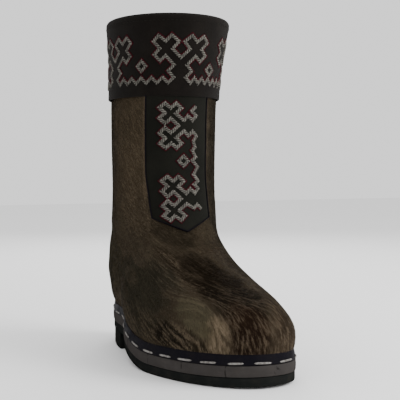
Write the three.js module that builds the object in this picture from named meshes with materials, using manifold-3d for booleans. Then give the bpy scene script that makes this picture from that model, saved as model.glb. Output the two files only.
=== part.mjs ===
// A right-foot fur boot: short-haired hide upper, felt cuff, felt front panel, welt, midsole,
// outsole, heel and insole. Millimetres, +Z up, toe towards -Y, outer side towards -X.
import * as THREE from 'three';
import { LoftGeometry } from 'three/addons/geometries/LoftGeometry.js';
import { mergeVertices } from 'three/addons/utils/BufferGeometryUtils.js';
import Module from 'manifold-3d';

const wasm = await Module();
wasm.setup();

// Sizes of the last and the leg
const lastLength = 290;
const ballWidth = 131;
const toeSwing = 20;
const heelSwing = 9;
const waistPinch = 5;
const instepHeight = 121;
const shaftWidth = 117;
const shaftDepth = 126;
const legAxis = 82;
const legLength = 222;

// Sizes of the sole
const outsoleThickness = 9.6;
const midsoleThickness = 11.2;
const heelRise = 19.5;
const toeSpring = 2.2;
const heelLength = 72;
const soleMargin = 8;
const midsoleStep = 0.8;
const heelInset = 0.8;
const edgeChamfer = 1.2;
const grooveWidth = 5;
const grooveDepth = 2.5;
const groovePitch = 15;

// Sizes of the pieces that the upper carries
const hideWall = 3.4;
const clearance = 0.3;
const insoleThickness = 4;
const weltLip = 1.4;
const weltHeight = 10.5;
const weltEdge = 1.2;
const cuffHeight = 88;
const cuffWall = 3.6;
const cuffLining = 2.4;
const cuffTurn = 30;
const cuffRoll = 5;
const panelThickness = 1.8;
const panelGap = 0.7;
const panelTuck = 8;
const panelLength = 149;
const panelPoint = 15;
const panelTaper = 54;

// Directions on the leg, in degrees round from the toe, positive towards the inner side
const panelMiddle = -11;
const panelHalf = 33.6;
const panelFootMiddle = -6;
const panelFootHalf = 33;

// How finely the curved pieces are faceted
const roundSteps = 52;
const rowSteps = 3;
const panelColumns = 14;
const panelRows = 12;
const soleSteps = 40;

// The last from the feather line to the instep. toe and heel are shares of lastLength from the back
// of the heel, toeUp and heelUp of instepHeight, ball and rear of ballWidth on each side of the
// middle line, and swing of toeSwing and heelSwing. level fades the curve of the seat out, and toeRound
// and heelRound are 1 for an elliptic end and less for a squarer one.
const footRows = [
  { toe: 1.004, heel: -0.012, toeUp: 0.00, heelUp: 0.00, ball: 0.474, rear: 0.268, swing: 1.00, level: 0.00, toeRound: 0.90, heelRound: 0.74 },
  { toe: 1.028, heel: -0.038, toeUp: 0.14, heelUp: 0.16, ball: 0.520, rear: 0.347, swing: 1.06, level: 0.05, toeRound: 0.90, heelRound: 0.80 },
  { toe: 1.018, heel: -0.046, toeUp: 0.29, heelUp: 0.32, ball: 0.506, rear: 0.388, swing: 1.02, level: 0.15, toeRound: 0.90, heelRound: 0.84 },
  { toe: 0.954, heel: -0.047, toeUp: 0.43, heelUp: 0.47, ball: 0.458, rear: 0.430, swing: 0.84, level: 0.35, toeRound: 0.92, heelRound: 0.88 },
  { toe: 0.832, heel: -0.032, toeUp: 0.55, heelUp: 0.62, ball: 0.410, rear: 0.458, swing: 0.56, level: 0.60, toeRound: 0.94, heelRound: 0.92 },
  { toe: 0.712, heel: -0.008, toeUp: 0.66, heelUp: 0.76, ball: 0.394, rear: 0.486, swing: 0.28, level: 0.80, toeRound: 0.96, heelRound: 0.96 },
  { toe: 0.611, heel: 0.016, toeUp: 0.77, heelUp: 0.90, ball: 0.402, rear: 0.490, swing: 0.10, level: 1.00, toeRound: 0.98, heelRound: 0.98 },
  { toe: 0.540, heel: 0.030, toeUp: 0.89, heelUp: 1.01, ball: 0.422, rear: 0.482, swing: 0.04, level: 1.00, toeRound: 0.99, heelRound: 0.99 },
];

// The leg from the instep to the collar. front and back are shares of shaftDepth from the leg's axis,
// frontUp and backUp of legLength, and half of shaftWidth.
const legRows = [
  { front: 0.500, back: 0.575, frontUp: 0.04, backUp: 0.08, half: 0.502 },
  { front: 0.487, back: 0.582, frontUp: 0.18, backUp: 0.20, half: 0.494 },
  { front: 0.487, back: 0.590, frontUp: 0.38, backUp: 0.39, half: 0.500 },
  { front: 0.505, back: 0.590, frontUp: 0.60, backUp: 0.60, half: 0.505 },
  { front: 0.562, back: 0.568, frontUp: 0.80, backUp: 0.80, half: 0.512 },
  { front: 0.640, back: 0.527, frontUp: 1.00, backUp: 1.00, half: 0.562 },
];

// Levels and places that follow from the sizes
const forefootSeat = outsoleThickness + midsoleThickness;
const middleSeat = forefootSeat + heelRise / 2;
const collarLevel = middleSeat + instepHeight + legLength;
const cuffTop = collarLevel + cuffRoll;
const cuffFoot = cuffTop - cuffHeight;

const smooth = (from, to, value) => THREE.MathUtils.smoothstep(value, from, to);
const mix = THREE.MathUtils.lerp;

// Height of the midsole's top at a distance from the back of the heel.
function seatLevel(along) {
  const share = along / lastLength;
  const rise = heelRise * (1 - smooth(0.24, 0.66, share));
  const spring = toeSpring * Math.max(0, (share - 0.76) / 0.24) ** 2;
  return forefootSeat + rise + spring;
}

// The rows of both tables in millimetres, smoothly joined.
const rowFields = [
  'front', 'back', 'frontUp', 'backUp', 'ball', 'rear', 'swing', 'level', 'toeRound', 'heelRound',
];
const rows = [
  ...footRows.map((r) => ({
    front: r.toe * lastLength, back: r.heel * lastLength,
    frontUp: r.toeUp * instepHeight, backUp: r.heelUp * instepHeight,
    ball: r.ball * ballWidth, rear: r.rear * ballWidth,
    swing: r.swing, level: r.level, toeRound: r.toeRound, heelRound: r.heelRound,
  })),
  ...legRows.map((r) => ({
    front: legAxis + r.front * shaftDepth, back: legAxis - r.back * shaftDepth,
    frontUp: instepHeight + r.frontUp * legLength, backUp: instepHeight + r.backUp * legLength,
    ball: r.half * shaftWidth, rear: r.half * shaftWidth,
    swing: 0, level: 1, toeRound: 1, heelRound: 1,
  })),
];
const lastRow = rows.length - 1;
const rowBlend = new THREE.CubicInterpolant(
  rows.map((_, i) => i),
  rows.flatMap((r) => rowFields.map((f) => r[f])),
  rowFields.length,
  new Float64Array(rowFields.length),
);

function rowAt(v) {
  const values = rowBlend.evaluate(THREE.MathUtils.clamp(v, 0, lastRow));
  return Object.fromEntries(rowFields.map((f, i) => [f, values[i]]));
}

// A point of the upper's outside. v runs up the rows and angle goes round from the toe, towards the
// inner side first.
function skin(v, angle) {
  const r = rowAt(v);
  const round = mix(r.heelRound, r.toeRound, (1 + Math.cos(angle)) / 2);
  const rounded = (x) => Math.sign(x) * Math.abs(x) ** round;
  const lengthwise = rounded(Math.cos(angle));
  const sideways = rounded(Math.sin(angle));
  const share = (1 + lengthwise) / 2;
  const along = mix(r.back, r.front, share);
  const half = mix(r.rear, r.ball, smooth(0.06, 0.64, share));
  const bend = r.swing * (toeSwing * (share ** 2 - 0.35 * Math.sin(Math.PI * share)) - heelSwing * (1 - share) ** 2);
  const pinch = sideways > 0 ? waistPinch * (1 - r.level) * Math.exp(-(((share - 0.40) / 0.17) ** 2)) : 0;
  const base = mix(seatLevel(along), middleSeat, r.level);
  return new THREE.Vector3(
    sideways * half + bend - pinch * sideways,
    -along,
    base + mix(r.backUp, r.frontUp, share),
  );
}

// The outward direction of the upper's outside.
function skinNormal(v, angle) {
  const dv = 0.04;
  const da = 0.02;
  const up = skin(Math.min(v + dv, lastRow), angle).sub(skin(Math.max(v - dv, 0), angle));
  const round = skin(v, angle + da).sub(skin(v, angle - da));
  return round.cross(up).normalize();
}

// A point at a distance outside the skin, or inside it where the distance is negative.
function offSkin(v, angle, distance) {
  return skin(v, angle).addScaledVector(skinNormal(v, angle), distance);
}

// The row parameter at which the skin reaches a level.
function rowAtLevel(angle, level) {
  let low = 0;
  let high = lastRow;
  for (let i = 0; i < 30; i++) {
    const middle = (low + high) / 2;
    if (skin(middle, angle).z < level) low = middle;
    else high = middle;
  }
  return (low + high) / 2;
}

// A point of the leg at a level, outside or inside the skin by a distance measured level.
function legPoint(angle, level, distance) {
  const v = rowAtLevel(angle, Math.min(level, collarLevel));
  const normal = skinNormal(v, angle).setZ(0).normalize();
  return skin(v, angle).addScaledVector(normal, distance).setZ(level);
}

// A point of the sole's outline at a distance outside the feather line, with no height.
function outlinePoint(angle, distance) {
  const da = 0.01;
  const tangent = skin(0, angle + da).sub(skin(0, angle - da)).setZ(0).normalize();
  const p = skin(0, angle);
  return new THREE.Vector2(p.x + tangent.y * distance, p.y - tangent.x * distance);
}

const angles = Array.from({ length: roundSteps }, (_, i) => (i / roundSteps) * 2 * Math.PI);

// A closed ring of wall sections, one at each angle.
function ringLoft(sectionAt) {
  const sections = [...angles, 0].reverse().map((angle) => sectionAt(angle));
  return new LoftGeometry(sections, { closed: true });
}

// Two sheets of points, the outer and the inner, joined round their four edges.
function sheetGeometry(columns, levels, pointAt) {
  const positions = [];
  const sheets = [1, 0];
  for (const side of sheets) {
    for (let j = 0; j <= levels; j++) {
      for (let i = 0; i <= columns; i++) positions.push(...pointAt(i / columns, j / levels, side).toArray());
    }
  }
  const width = columns + 1;
  const inner = width * (levels + 1);
  const faces = [];
  const quad = (a, b, c, d) => faces.push(a, b, c, a, c, d);
  for (let j = 0; j < levels; j++) {
    for (let i = 0; i < columns; i++) {
      const a = j * width + i;
      quad(a, a + 1, a + width + 1, a + width);
      quad(inner + a, inner + a + width, inner + a + width + 1, inner + a + 1);
    }
  }
  const rim = [];
  for (let i = 0; i < columns; i++) rim.push(i);
  for (let j = 0; j < levels; j++) rim.push(j * width + columns);
  for (let i = columns; i > 0; i--) rim.push(levels * width + i);
  for (let j = levels; j > 0; j--) rim.push(j * width);
  rim.forEach((a, k) => {
    const b = rim[(k + 1) % rim.length];
    quad(a, inner + a, inner + b, b);
  });
  const geometry = new THREE.BufferGeometry();
  geometry.setAttribute('position', new THREE.Float32BufferAttribute(positions, 3));
  geometry.setIndex(faces);
  return geometry;
}

function toSolid(geometry) {
  const bare = geometry.clone();
  bare.deleteAttribute('normal');
  bare.deleteAttribute('uv');
  const merged = mergeVertices(bare, 1e-4);
  return new wasm.Manifold(new wasm.Mesh({
    numProp: 3,
    vertProperties: new Float32Array(merged.attributes.position.array),
    triVerts: new Uint32Array(merged.index.array),
  }));
}

function toGeometry(solid) {
  const mesh = solid.getMesh();
  const geometry = new THREE.BufferGeometry();
  geometry.setAttribute('position', new THREE.BufferAttribute(mesh.vertProperties, 3));
  geometry.setIndex(new THREE.BufferAttribute(mesh.triVerts, 1));
  return geometry;
}

// A column on an outline at a distance outside the feather line, or inside the upper's wall.
function outlineColumn(distance, bottom, top) {
  const shape = new THREE.Shape(angles.map((angle) => outlinePoint(angle, distance)));
  const geometry = new THREE.ExtrudeGeometry(shape, { depth: top - bottom, bevelEnabled: false });
  return toSolid(geometry.translate(0, 0, bottom));
}

// A slab as wide as the sole between two heights that depend on the distance from the heel.
function sideSlab(from, to, lowAt, highAt) {
  const stations = Array.from({ length: soleSteps + 1 }, (_, i) => mix(from, to, i / soleSteps));
  const low = stations.map((along) => new THREE.Vector2(along, lowAt(along)));
  const high = stations.map((along) => new THREE.Vector2(along, highAt(along))).reverse();
  const shape = new THREE.Shape([...low, ...high]);
  const geometry = new THREE.ExtrudeGeometry(shape, { depth: 2 * ballWidth, bevelEnabled: false });
  geometry.translate(0, 0, -ballWidth);
  const drawn = new THREE.Matrix4().makeBasis(
    new THREE.Vector3(0, -1, 0), new THREE.Vector3(0, 0, 1), new THREE.Vector3(-1, 0, 0),
  );
  return toSolid(geometry.applyMatrix4(drawn));
}

function box(size, centre) {
  return toSolid(new THREE.BoxGeometry(...size).toNonIndexed().translate(...centre));
}

const soleBack = -2 * soleMargin;
const soleFront = lastLength + 2 * soleMargin;
const midsoleFloor = (along) => seatLevel(along) - midsoleThickness;
const outsoleRoof = (along) => midsoleFloor(along) - clearance;
const outsoleFloor = (along) => Math.max(0, midsoleFloor(along) - outsoleThickness);
const heelBreast = heelLength - soleMargin;

// The hide: one wall from the feather line to the collar, open above and below.
function upperGeometry() {
  const outerSteps = lastRow * rowSteps;
  return ringLoft((angle) => {
    const hem = [0, hideWall].map((depth) => {
      const p = outlinePoint(angle, -depth);
      return new THREE.Vector3(p.x, p.y, seatLevel(-p.y) + clearance);
    });
    const outside = [hem[0]];
    for (let k = 1; k <= outerSteps; k++) outside.push(skin((k / outerSteps) * lastRow, angle));
    const inside = [hem[1]];
    for (let k = 1; k <= lastRow; k++) inside.push(offSkin(k, angle, -hideWall));
    inside.at(-1).setZ(collarLevel);
    return [...outside, ...inside.reverse()];
  });
}

// The welt: a low lip at the sole's edge, and a slope that covers the foot of the hide.
function weltGeometry() {
  const outerEdge = soleMargin;
  return ringLoft((angle) => {
    const onSole = (distance, lift) => {
      const p = outlinePoint(angle, distance);
      return new THREE.Vector3(p.x, p.y, seatLevel(-p.y) + clearance + lift);
    };
    const seat = skin(0, angle).z;
    const against = (lift, distance) => {
      const v = rowAtLevel(angle, seat + clearance + lift);
      return offSkin(v, angle, distance);
    };
    const foot = onSole(clearance, 0);
    return [
      foot,
      onSole(outerEdge, 0),
      onSole(outerEdge, weltLip),
      against(weltHeight, clearance + weltEdge),
      against(weltHeight, clearance),
      against(weltHeight / 2, clearance),
    ];
  });
}

function midsoleGeometry() {
  const column = outlineColumn(soleMargin, -1, middleSeat * 2);
  return toGeometry(column.intersect(sideSlab(soleBack, soleFront, midsoleFloor, seatLevel)));
}

// The outsole follows the midsole, with a chamfered lower edge and grooves across the tread.
function outsoleGeometry() {
  const outer = soleMargin - midsoleStep;
  const slab = sideSlab(soleBack, soleFront, outsoleFloor, outsoleRoof);
  const lower = (along) => outsoleFloor(along) + edgeChamfer;
  let solid = outlineColumn(outer, -1, middleSeat * 2).intersect(sideSlab(soleBack, soleFront, lower, outsoleRoof));
  solid = solid.add(outlineColumn(outer - edgeChamfer, -1, middleSeat * 2).intersect(slab));
  const treadStart = lastLength * 0.60;
  const treadEnd = lastLength * 0.94;
  for (let along = treadStart; along < treadEnd; along += groovePitch) {
    const centre = outsoleFloor(along);
    solid = solid.subtract(box([ballWidth * 2, grooveWidth, grooveDepth * 2], [0, -along, centre]));
  }
  return toGeometry(solid);
}

// The heel: a block under the back of the outsole, with a straight breast and one groove.
function heelGeometry() {
  const outer = soleMargin - midsoleStep - heelInset;
  const roof = (along) => outsoleFloor(along) - clearance;
  const body = sideSlab(soleBack, heelBreast, () => edgeChamfer, roof);
  const tread = sideSlab(soleBack, heelBreast, () => 0, roof);
  let solid = outlineColumn(outer, -1, middleSeat).intersect(body);
  solid = solid.add(outlineColumn(outer - edgeChamfer, -1, middleSeat).intersect(tread));
  for (const share of [0.35, 0.70]) {
    const along = heelBreast * share;
    solid = solid.subtract(box([ballWidth * 2, grooveWidth, grooveDepth * 2], [0, -along, 0]));
  }
  return toGeometry(solid);
}

function insoleGeometry() {
  const column = outlineColumn(-hideWall - 2 * clearance, 0, middleSeat * 2);
  const floor = (along) => seatLevel(along) + clearance;
  const slab = sideSlab(soleBack, soleFront, floor, (along) => floor(along) + insoleThickness);
  return toGeometry(column.intersect(slab));
}

const toRadians = THREE.MathUtils.degToRad;
const panelTop = cuffFoot + panelTuck;
const panelCorner = cuffFoot - panelLength + panelPoint;

// The direction that the panel reaches at a level, for a share across it of -1 to 1.
function panelAngle(across, level) {
  const share = smooth(panelCorner, panelCorner + panelTaper, level);
  const centre = mix(panelFootMiddle, panelMiddle, share);
  return toRadians(centre + across * mix(panelFootHalf, panelHalf, share));
}

// The front panel: a felt sheet on the leg, tucked under the cuff and pointed below.
function panelGeometry() {
  const across = (share) => 2 * share - 1;
  return sheetGeometry(panelColumns, panelRows, (i, j, side) => {
    const foot = panelCorner - panelPoint * (1 - Math.abs(across(i)));
    const level = mix(foot, panelTop, j);
    const angle = panelAngle(across(i), level);
    const v = rowAtLevel(angle, level);
    return offSkin(v, angle, panelGap + side * panelThickness);
  });
}

// Whether the cuff passes over the tucked end of the panel at an angle.
function overPanel(angle) {
  const turned = THREE.MathUtils.euclideanModulo(THREE.MathUtils.radToDeg(angle) - panelMiddle + 180, 360) - 180;
  return Math.abs(turned) < panelHalf + 2 * 360 / roundSteps;
}

// The cuff: a felt band outside the leg, rolled over the collar and turned down inside.
function cuffGeometry() {
  const tuckTop = panelTop + 2;
  const inside = -(hideWall + clearance);
  const lining = inside - cuffLining;
  return ringLoft((angle) => {
    const gap = clearance + (overPanel(angle) ? panelThickness + panelGap : 0);
    const outer = clearance + cuffWall;
    const at = (level, distance) => legPoint(angle, level, distance);
    return [
      at(cuffFoot, gap),
      at(cuffFoot, outer - 0.9),
      at(cuffFoot + 1.2, outer),
      at(mix(cuffFoot, collarLevel, 0.35), outer),
      at(mix(cuffFoot, collarLevel, 0.70), outer),
      at(collarLevel - cuffRoll / 2, outer),
      at(collarLevel + cuffRoll * 0.45, outer - 0.6),
      at(cuffTop - 0.7, outer - 2.2),
      at(cuffTop, outer - 4.2),
      at(cuffTop, lining + 2.2),
      at(collarLevel + cuffRoll * 0.55, lining + 0.5),
      at(collarLevel, lining),
      at(collarLevel - cuffTurn, lining),
      at(collarLevel - cuffTurn, inside),
      at(collarLevel + clearance, inside),
      at(collarLevel + clearance, clearance),
      at(mix(cuffFoot, collarLevel, 0.84), clearance),
      at(mix(cuffFoot, collarLevel, 0.62), clearance),
      at(mix(cuffFoot, collarLevel, 0.36), clearance),
      at(tuckTop + 2, clearance),
      at(tuckTop, gap),
    ];
  });
}

function material(colour, roughness) {
  return new THREE.MeshStandardMaterial({ color: colour, roughness, metalness: 0 });
}

const hide = material(0x6e5c48, 0.85);
const felt = material(0x24221f, 0.95);
const weltLeather = material(0x1e2028, 0.6);
const greyRubber = material(0x6c6862, 0.8);
const blackRubber = material(0x191b1b, 0.7);
const liningFelt = material(0x5b5449, 0.95);

const pieces = [
  ['outsole', outsoleGeometry(), blackRubber],
  ['heel', heelGeometry(), blackRubber],
  ['midsole', midsoleGeometry(), greyRubber],
  ['welt', weltGeometry(), weltLeather],
  ['upper', upperGeometry(), hide],
  ['insole', insoleGeometry(), liningFelt],
  ['front_panel', panelGeometry(), felt],
  ['cuff', cuffGeometry(), felt],
];

const boot = new THREE.Group();
boot.name = 'fur_boot';
for (const [name, geometry, finish] of pieces) {
  const mesh = new THREE.Mesh(geometry, finish);
  mesh.name = name;
  boot.add(mesh);
}

// The origin is on the floor, under the middle of the whole boot.
const extent = new THREE.Box3().setFromObject(boot);
const middle = extent.getCenter(new THREE.Vector3());
boot.position.set(-middle.x, -middle.y, 0);

export default boot;
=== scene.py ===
"""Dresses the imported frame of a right-foot fur boot.

The boot stands on its sole, toe towards -Y, outer side towards -X. Lengths are in metres. Each
sub-assembly is a class with its sizes as fields and methods that build and dress its pieces.
"""
from __future__ import annotations

import logging
import math
from dataclasses import dataclass, field
from enum import Enum
from typing import Callable

import bpy
import numpy as np
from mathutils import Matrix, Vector

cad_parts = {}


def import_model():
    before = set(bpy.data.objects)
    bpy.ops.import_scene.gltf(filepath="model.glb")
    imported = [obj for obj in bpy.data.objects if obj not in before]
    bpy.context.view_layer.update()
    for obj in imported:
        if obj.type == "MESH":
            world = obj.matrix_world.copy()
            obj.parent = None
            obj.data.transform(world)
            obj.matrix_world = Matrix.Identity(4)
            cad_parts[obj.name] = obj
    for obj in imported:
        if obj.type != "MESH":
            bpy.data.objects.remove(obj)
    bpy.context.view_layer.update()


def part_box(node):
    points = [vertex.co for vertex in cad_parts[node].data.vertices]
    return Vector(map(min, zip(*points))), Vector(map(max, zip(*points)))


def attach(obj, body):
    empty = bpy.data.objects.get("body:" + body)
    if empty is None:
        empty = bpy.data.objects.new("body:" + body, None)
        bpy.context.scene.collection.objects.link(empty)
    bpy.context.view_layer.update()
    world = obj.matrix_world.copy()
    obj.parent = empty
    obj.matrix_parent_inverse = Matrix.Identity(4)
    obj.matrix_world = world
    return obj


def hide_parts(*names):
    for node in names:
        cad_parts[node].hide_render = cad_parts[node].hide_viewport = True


LOG = logging.getLogger("fur_boot")
MM = 0.001
TAU = 2 * math.pi
WELD = 2e-6
SHADE = 0.42
NUMBER = "NodeSocketFloat"
Array = np.ndarray
Number = np.ndarray | float
Pair = tuple[float, float]
Triple = tuple[float, float, float]
Place = Callable[[Array, Array], Array]
Socket = bpy.types.NodeSocket
Piece = bpy.types.Object
Lay = Callable[[Array, Array, Array], Array]


# Small maths

def mix(low: Number, high: Number, share: Number) -> Number:
    """Returns the value at a share of the way from low to high."""
    return low + (high - low) * share


def ease(low: float, high: float, value: Array) -> Array:
    """Returns 0 below low and 1 above high, with a smooth rise between them."""
    share = np.clip((value - low) / (high - low), 0.0, 1.0)
    return share * share * (3 - 2 * share)


def bell(value: Array, middle: float, width: float) -> Array:
    """Returns 1 at the middle, falling away smoothly over a width."""
    return np.exp(-(((value - middle) / width) ** 2))


def half_turn(angle: Array) -> Array:
    """Returns an angle brought between minus and plus half a turn."""
    return (angle + math.pi) % TAU - math.pi


def unit(vectors: Array) -> Array:
    """Returns the vectors at length one."""
    return vectors / np.maximum(np.linalg.norm(vectors, axis=-1, keepdims=True), 1e-12)


def run_along(points: Array) -> Array:
    """Returns the distance from the first point to each point along a line."""
    return np.concatenate([[0], np.cumsum(np.linalg.norm(np.diff(points, axis=0), axis=1))])


def seen(red: float, green: float, blue: float) -> Triple:
    """Returns the surface colour that the studio's light shows as a screen colour of 0 to 255."""
    def linear(value: float) -> float:
        """Returns one channel as linear light."""
        value /= 255
        return value / 12.92 if value <= 0.04045 else ((value + 0.055) / 1.055) ** 2.4
    return SHADE * linear(red), SHADE * linear(green), SHADE * linear(blue)


class Mottle:
    """Smooth seeded noise in space, for hair and patches that code has to place."""

    def __init__(self, seed: int) -> None:
        """Draws the lattice of random values."""
        self.lattice = np.random.default_rng(seed).random((32, 32, 32))

    def at(self, points: Array, size: float) -> Array:
        """Reads the noise.

        Args:
            points: places in metres, one a row.
            size: how far apart its blobs are, in metres.
        Returns:
            One value of 0 to 1 for each place.
        """
        scaled = points / size
        cell = np.floor(scaled).astype(int)
        share = scaled - cell
        share = share * share * (3 - 2 * share)
        total = np.zeros(len(points))
        for corner in np.ndindex(2, 2, 2):
            weight = np.prod(np.where(np.array(corner) == 1, share, 1 - share), axis=1)
            i, j, k = ((cell + corner) % 32).T
            total += weight * self.lattice[i, j, k]
        return total

    def layers(self, points: Array, rows: tuple[Triple, ...]) -> Array:
        """Returns noise of several sizes added up, each given as shift, size and amount."""
        return sum((self.at(points + shift, size) - 0.5) * amount for shift, size, amount in rows)


MOTTLE = Mottle(7)


# The shape of the boot

@dataclass(frozen=True)
class FootRow:
    """One girth of the foot, as shares of the last's sizes."""

    toe: float
    heel: float
    toe_up: float
    heel_up: float
    ball: float
    rear: float
    swing: float
    level: float
    toe_round: float
    heel_round: float


@dataclass(frozen=True)
class LegRow:
    """One girth of the leg, as shares of the shaft's sizes."""

    front: float
    back: float
    front_up: float
    back_up: float
    half: float


@dataclass
class Last:
    """The form that the upper is drawn over, and the outline of the sole under it."""

    last_length: float = 0.290
    ball_width: float = 0.131
    toe_swing: float = 0.020
    heel_swing: float = 0.009
    waist_pinch: float = 0.005
    outer_hollow: float = 0.006
    pinch_spot: Pair = (0.40, 0.17)
    hollow_spot: Pair = (0.31, 0.09)
    widening: Pair = (0.06, 0.64)
    swing_bow: float = 0.35
    heel_slope: Pair = (0.24, 0.66)
    spring_start: float = 0.76
    instep_height: float = 0.121
    shaft_width: float = 0.117
    shaft_depth: float = 0.126
    leg_axis: float = 0.082
    leg_length: float = 0.222
    outsole_thickness: float = 0.0096
    midsole_thickness: float = 0.0112
    heel_rise: float = 0.0195
    toe_spring: float = 0.0022
    clearance: float = 0.0003
    stations: int = 52
    foot_rows: tuple[FootRow, ...] = (
        FootRow(1.004, -0.012, 0.00, 0.00, 0.474, 0.268, 1.00, 0.00, 0.90, 0.74),
        FootRow(1.028, -0.038, 0.14, 0.16, 0.520, 0.347, 1.06, 0.05, 0.90, 0.80),
        FootRow(1.018, -0.046, 0.29, 0.32, 0.506, 0.388, 1.02, 0.15, 0.90, 0.84),
        FootRow(0.954, -0.047, 0.43, 0.47, 0.458, 0.430, 0.84, 0.35, 0.92, 0.88),
        FootRow(0.832, -0.032, 0.55, 0.62, 0.410, 0.458, 0.56, 0.60, 0.94, 0.92),
        FootRow(0.712, -0.008, 0.66, 0.76, 0.394, 0.486, 0.28, 0.80, 0.96, 0.96),
        FootRow(0.611, 0.016, 0.77, 0.90, 0.402, 0.490, 0.10, 1.00, 0.98, 0.98),
        FootRow(0.540, 0.030, 0.89, 1.01, 0.422, 0.482, 0.04, 1.00, 0.99, 0.99),
    )
    leg_rows: tuple[LegRow, ...] = (
        LegRow(0.500, 0.575, 0.04, 0.08, 0.502),
        LegRow(0.487, 0.582, 0.18, 0.20, 0.494),
        LegRow(0.487, 0.590, 0.38, 0.39, 0.500),
        LegRow(0.505, 0.590, 0.60, 0.60, 0.505),
        LegRow(0.562, 0.568, 0.80, 0.80, 0.512),
        LegRow(0.640, 0.527, 1.00, 1.00, 0.562),
    )
    shift: Array = field(default_factory=lambda: np.zeros(3))

    def __post_init__(self) -> None:
        """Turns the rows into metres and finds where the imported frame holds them."""
        foot = [
            (r.toe * self.last_length, r.heel * self.last_length, r.toe_up * self.instep_height,
             r.heel_up * self.instep_height, r.ball * self.ball_width, r.rear * self.ball_width,
             r.swing, r.level, r.toe_round, r.heel_round)
            for r in self.foot_rows
        ]
        leg = [
            (self.leg_axis + r.front * self.shaft_depth, self.leg_axis - r.back * self.shaft_depth,
             self.instep_height + r.front_up * self.leg_length,
             self.instep_height + r.back_up * self.leg_length,
             r.half * self.shaft_width, r.half * self.shaft_width, 0.0, 1.0, 1.0, 1.0)
            for r in self.leg_rows
        ]
        self.table = np.array(foot + leg)
        self.top_row = len(self.table) - 1
        self.forefoot_seat = self.outsole_thickness + self.midsole_thickness
        self.middle_seat = self.forefoot_seat + self.heel_rise / 2
        self.collar_level = self.middle_seat + self.instep_height + self.leg_length

    def settle(self, low: tuple[float, ...], high: tuple[float, ...], margin: float) -> None:
        """Moves the form to where the frame has it.

        Args:
            low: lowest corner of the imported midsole.
            high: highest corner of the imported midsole.
            margin: how far the midsole stands out from the feather line.
        """
        ring = self.outline(np.arange(self.stations) / self.stations * TAU, margin)
        self.shift = np.array([
            (low[0] + high[0] - ring[:, 0].min() - ring[:, 0].max()) / 2,
            (low[1] + high[1] - ring[:, 1].min() - ring[:, 1].max()) / 2,
            0.0,
        ])

    def seat(self, along: Array) -> Array:
        """Returns the height of the midsole's top at a distance from the back of the heel."""
        share = along / self.last_length
        rise = self.heel_rise * (1 - ease(*self.heel_slope, share))
        ahead = np.maximum(0, (share - self.spring_start) / (1 - self.spring_start))
        return self.forefoot_seat + rise + self.toe_spring * ahead ** 2

    def rows_at(self, v: Array) -> Array:
        """Returns the ten row values at each row parameter, smoothly joined."""
        v = np.clip(v, 0, self.top_row)
        low = np.minimum(v.astype(int), self.top_row - 1)
        p = (v - low)[..., None]
        last = self.top_row
        before = np.where(low == 0, 1, low - 1)
        after = np.where(low == last - 1, last - 1, np.minimum(low + 2, last))
        w_before = np.where(low == 0, -0.5, 0.5)[..., None]
        w_after = np.where(low == last - 1, -0.5, 0.5)[..., None]
        s_before = -w_before * p ** 3 + 2 * w_before * p ** 2 - w_before * p
        s_low = (1 + w_before) * p ** 3 - (1.5 + 2 * w_before) * p ** 2 + (w_before - 0.5) * p + 1
        s_high = (-1 - w_after) * p ** 3 + (1.5 + w_after) * p ** 2 + 0.5 * p
        s_after = w_after * p ** 3 - w_after * p ** 2
        t = self.table
        return s_before * t[before] + s_low * t[low] + s_high * t[low + 1] + s_after * t[after]

    def skin(self, v: Number, angle: Number) -> Array:
        """Finds points of the upper's outside.

        Args:
            v: row parameter, 0 at the feather line and rising to the collar.
            angle: round from the toe, in radians, positive towards the inner side.
        Returns:
            One point for each pair.
        """
        v, angle = np.broadcast_arrays(np.asarray(v, float), np.asarray(angle, float))
        (front, back, front_up, back_up, ball, rear, swing, level,
         toe_round, heel_round) = np.moveaxis(self.rows_at(v), -1, 0)
        power = mix(heel_round, toe_round, (1 + np.cos(angle)) / 2)
        c, s = np.cos(angle), np.sin(angle)
        lengthwise = np.sign(c) * np.abs(c) ** power
        sideways = np.sign(s) * np.abs(s) ** power
        share = (1 + lengthwise) / 2
        along = mix(back, front, share)
        half = mix(rear, ball, ease(*self.widening, share))
        bend = swing * (self.toe_swing * (share ** 2 - self.swing_bow * np.sin(np.pi * share))
                        - self.heel_swing * (1 - share) ** 2)
        pinch = np.where(sideways > 0, self.waist_pinch * bell(share, *self.pinch_spot),
                         self.outer_hollow * bell(share, *self.hollow_spot)) * (1 - level)
        base = mix(self.seat(along), self.middle_seat, level)
        x = sideways * half + bend - pinch * sideways
        z = base + mix(back_up, front_up, share)
        return np.stack([x, -along, z], axis=-1) + self.shift

    def axes(self, v: Number, angle: Number, step: float = 0.04) -> tuple[Array, Array, Array]:
        """Returns the ways up, round and outwards on the upper's outside."""
        v, angle = np.broadcast_arrays(np.asarray(v, float), np.asarray(angle, float))
        above, below = np.minimum(v + step, self.top_row), np.maximum(v - step, 0)
        up = unit(self.skin(above, angle) - self.skin(below, angle))
        around = unit(self.skin(v, angle + 0.02) - self.skin(v, angle - 0.02))
        return up, around, unit(np.cross(around, up))

    def off(self, v: Number, angle: Number, distance: Number) -> Array:
        """Returns points at a distance outside the skin."""
        _, _, normal = self.axes(v, angle)
        return self.skin(v, angle) + normal * np.asarray(distance, float)[..., None]

    def row_at_level(self, angle: Array, level: Array) -> Array:
        """Returns the row parameter at which the skin reaches a level."""
        angle, level = np.broadcast_arrays(np.asarray(angle, float), np.asarray(level, float))
        low = np.zeros(angle.shape)
        high = np.full(angle.shape, float(self.top_row))
        for _ in range(26):
            middle = (low + high) / 2
            under = self.skin(middle, angle)[..., 2] < level
            low = np.where(under, middle, low)
            high = np.where(under, high, middle)
        return (low + high) / 2

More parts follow.
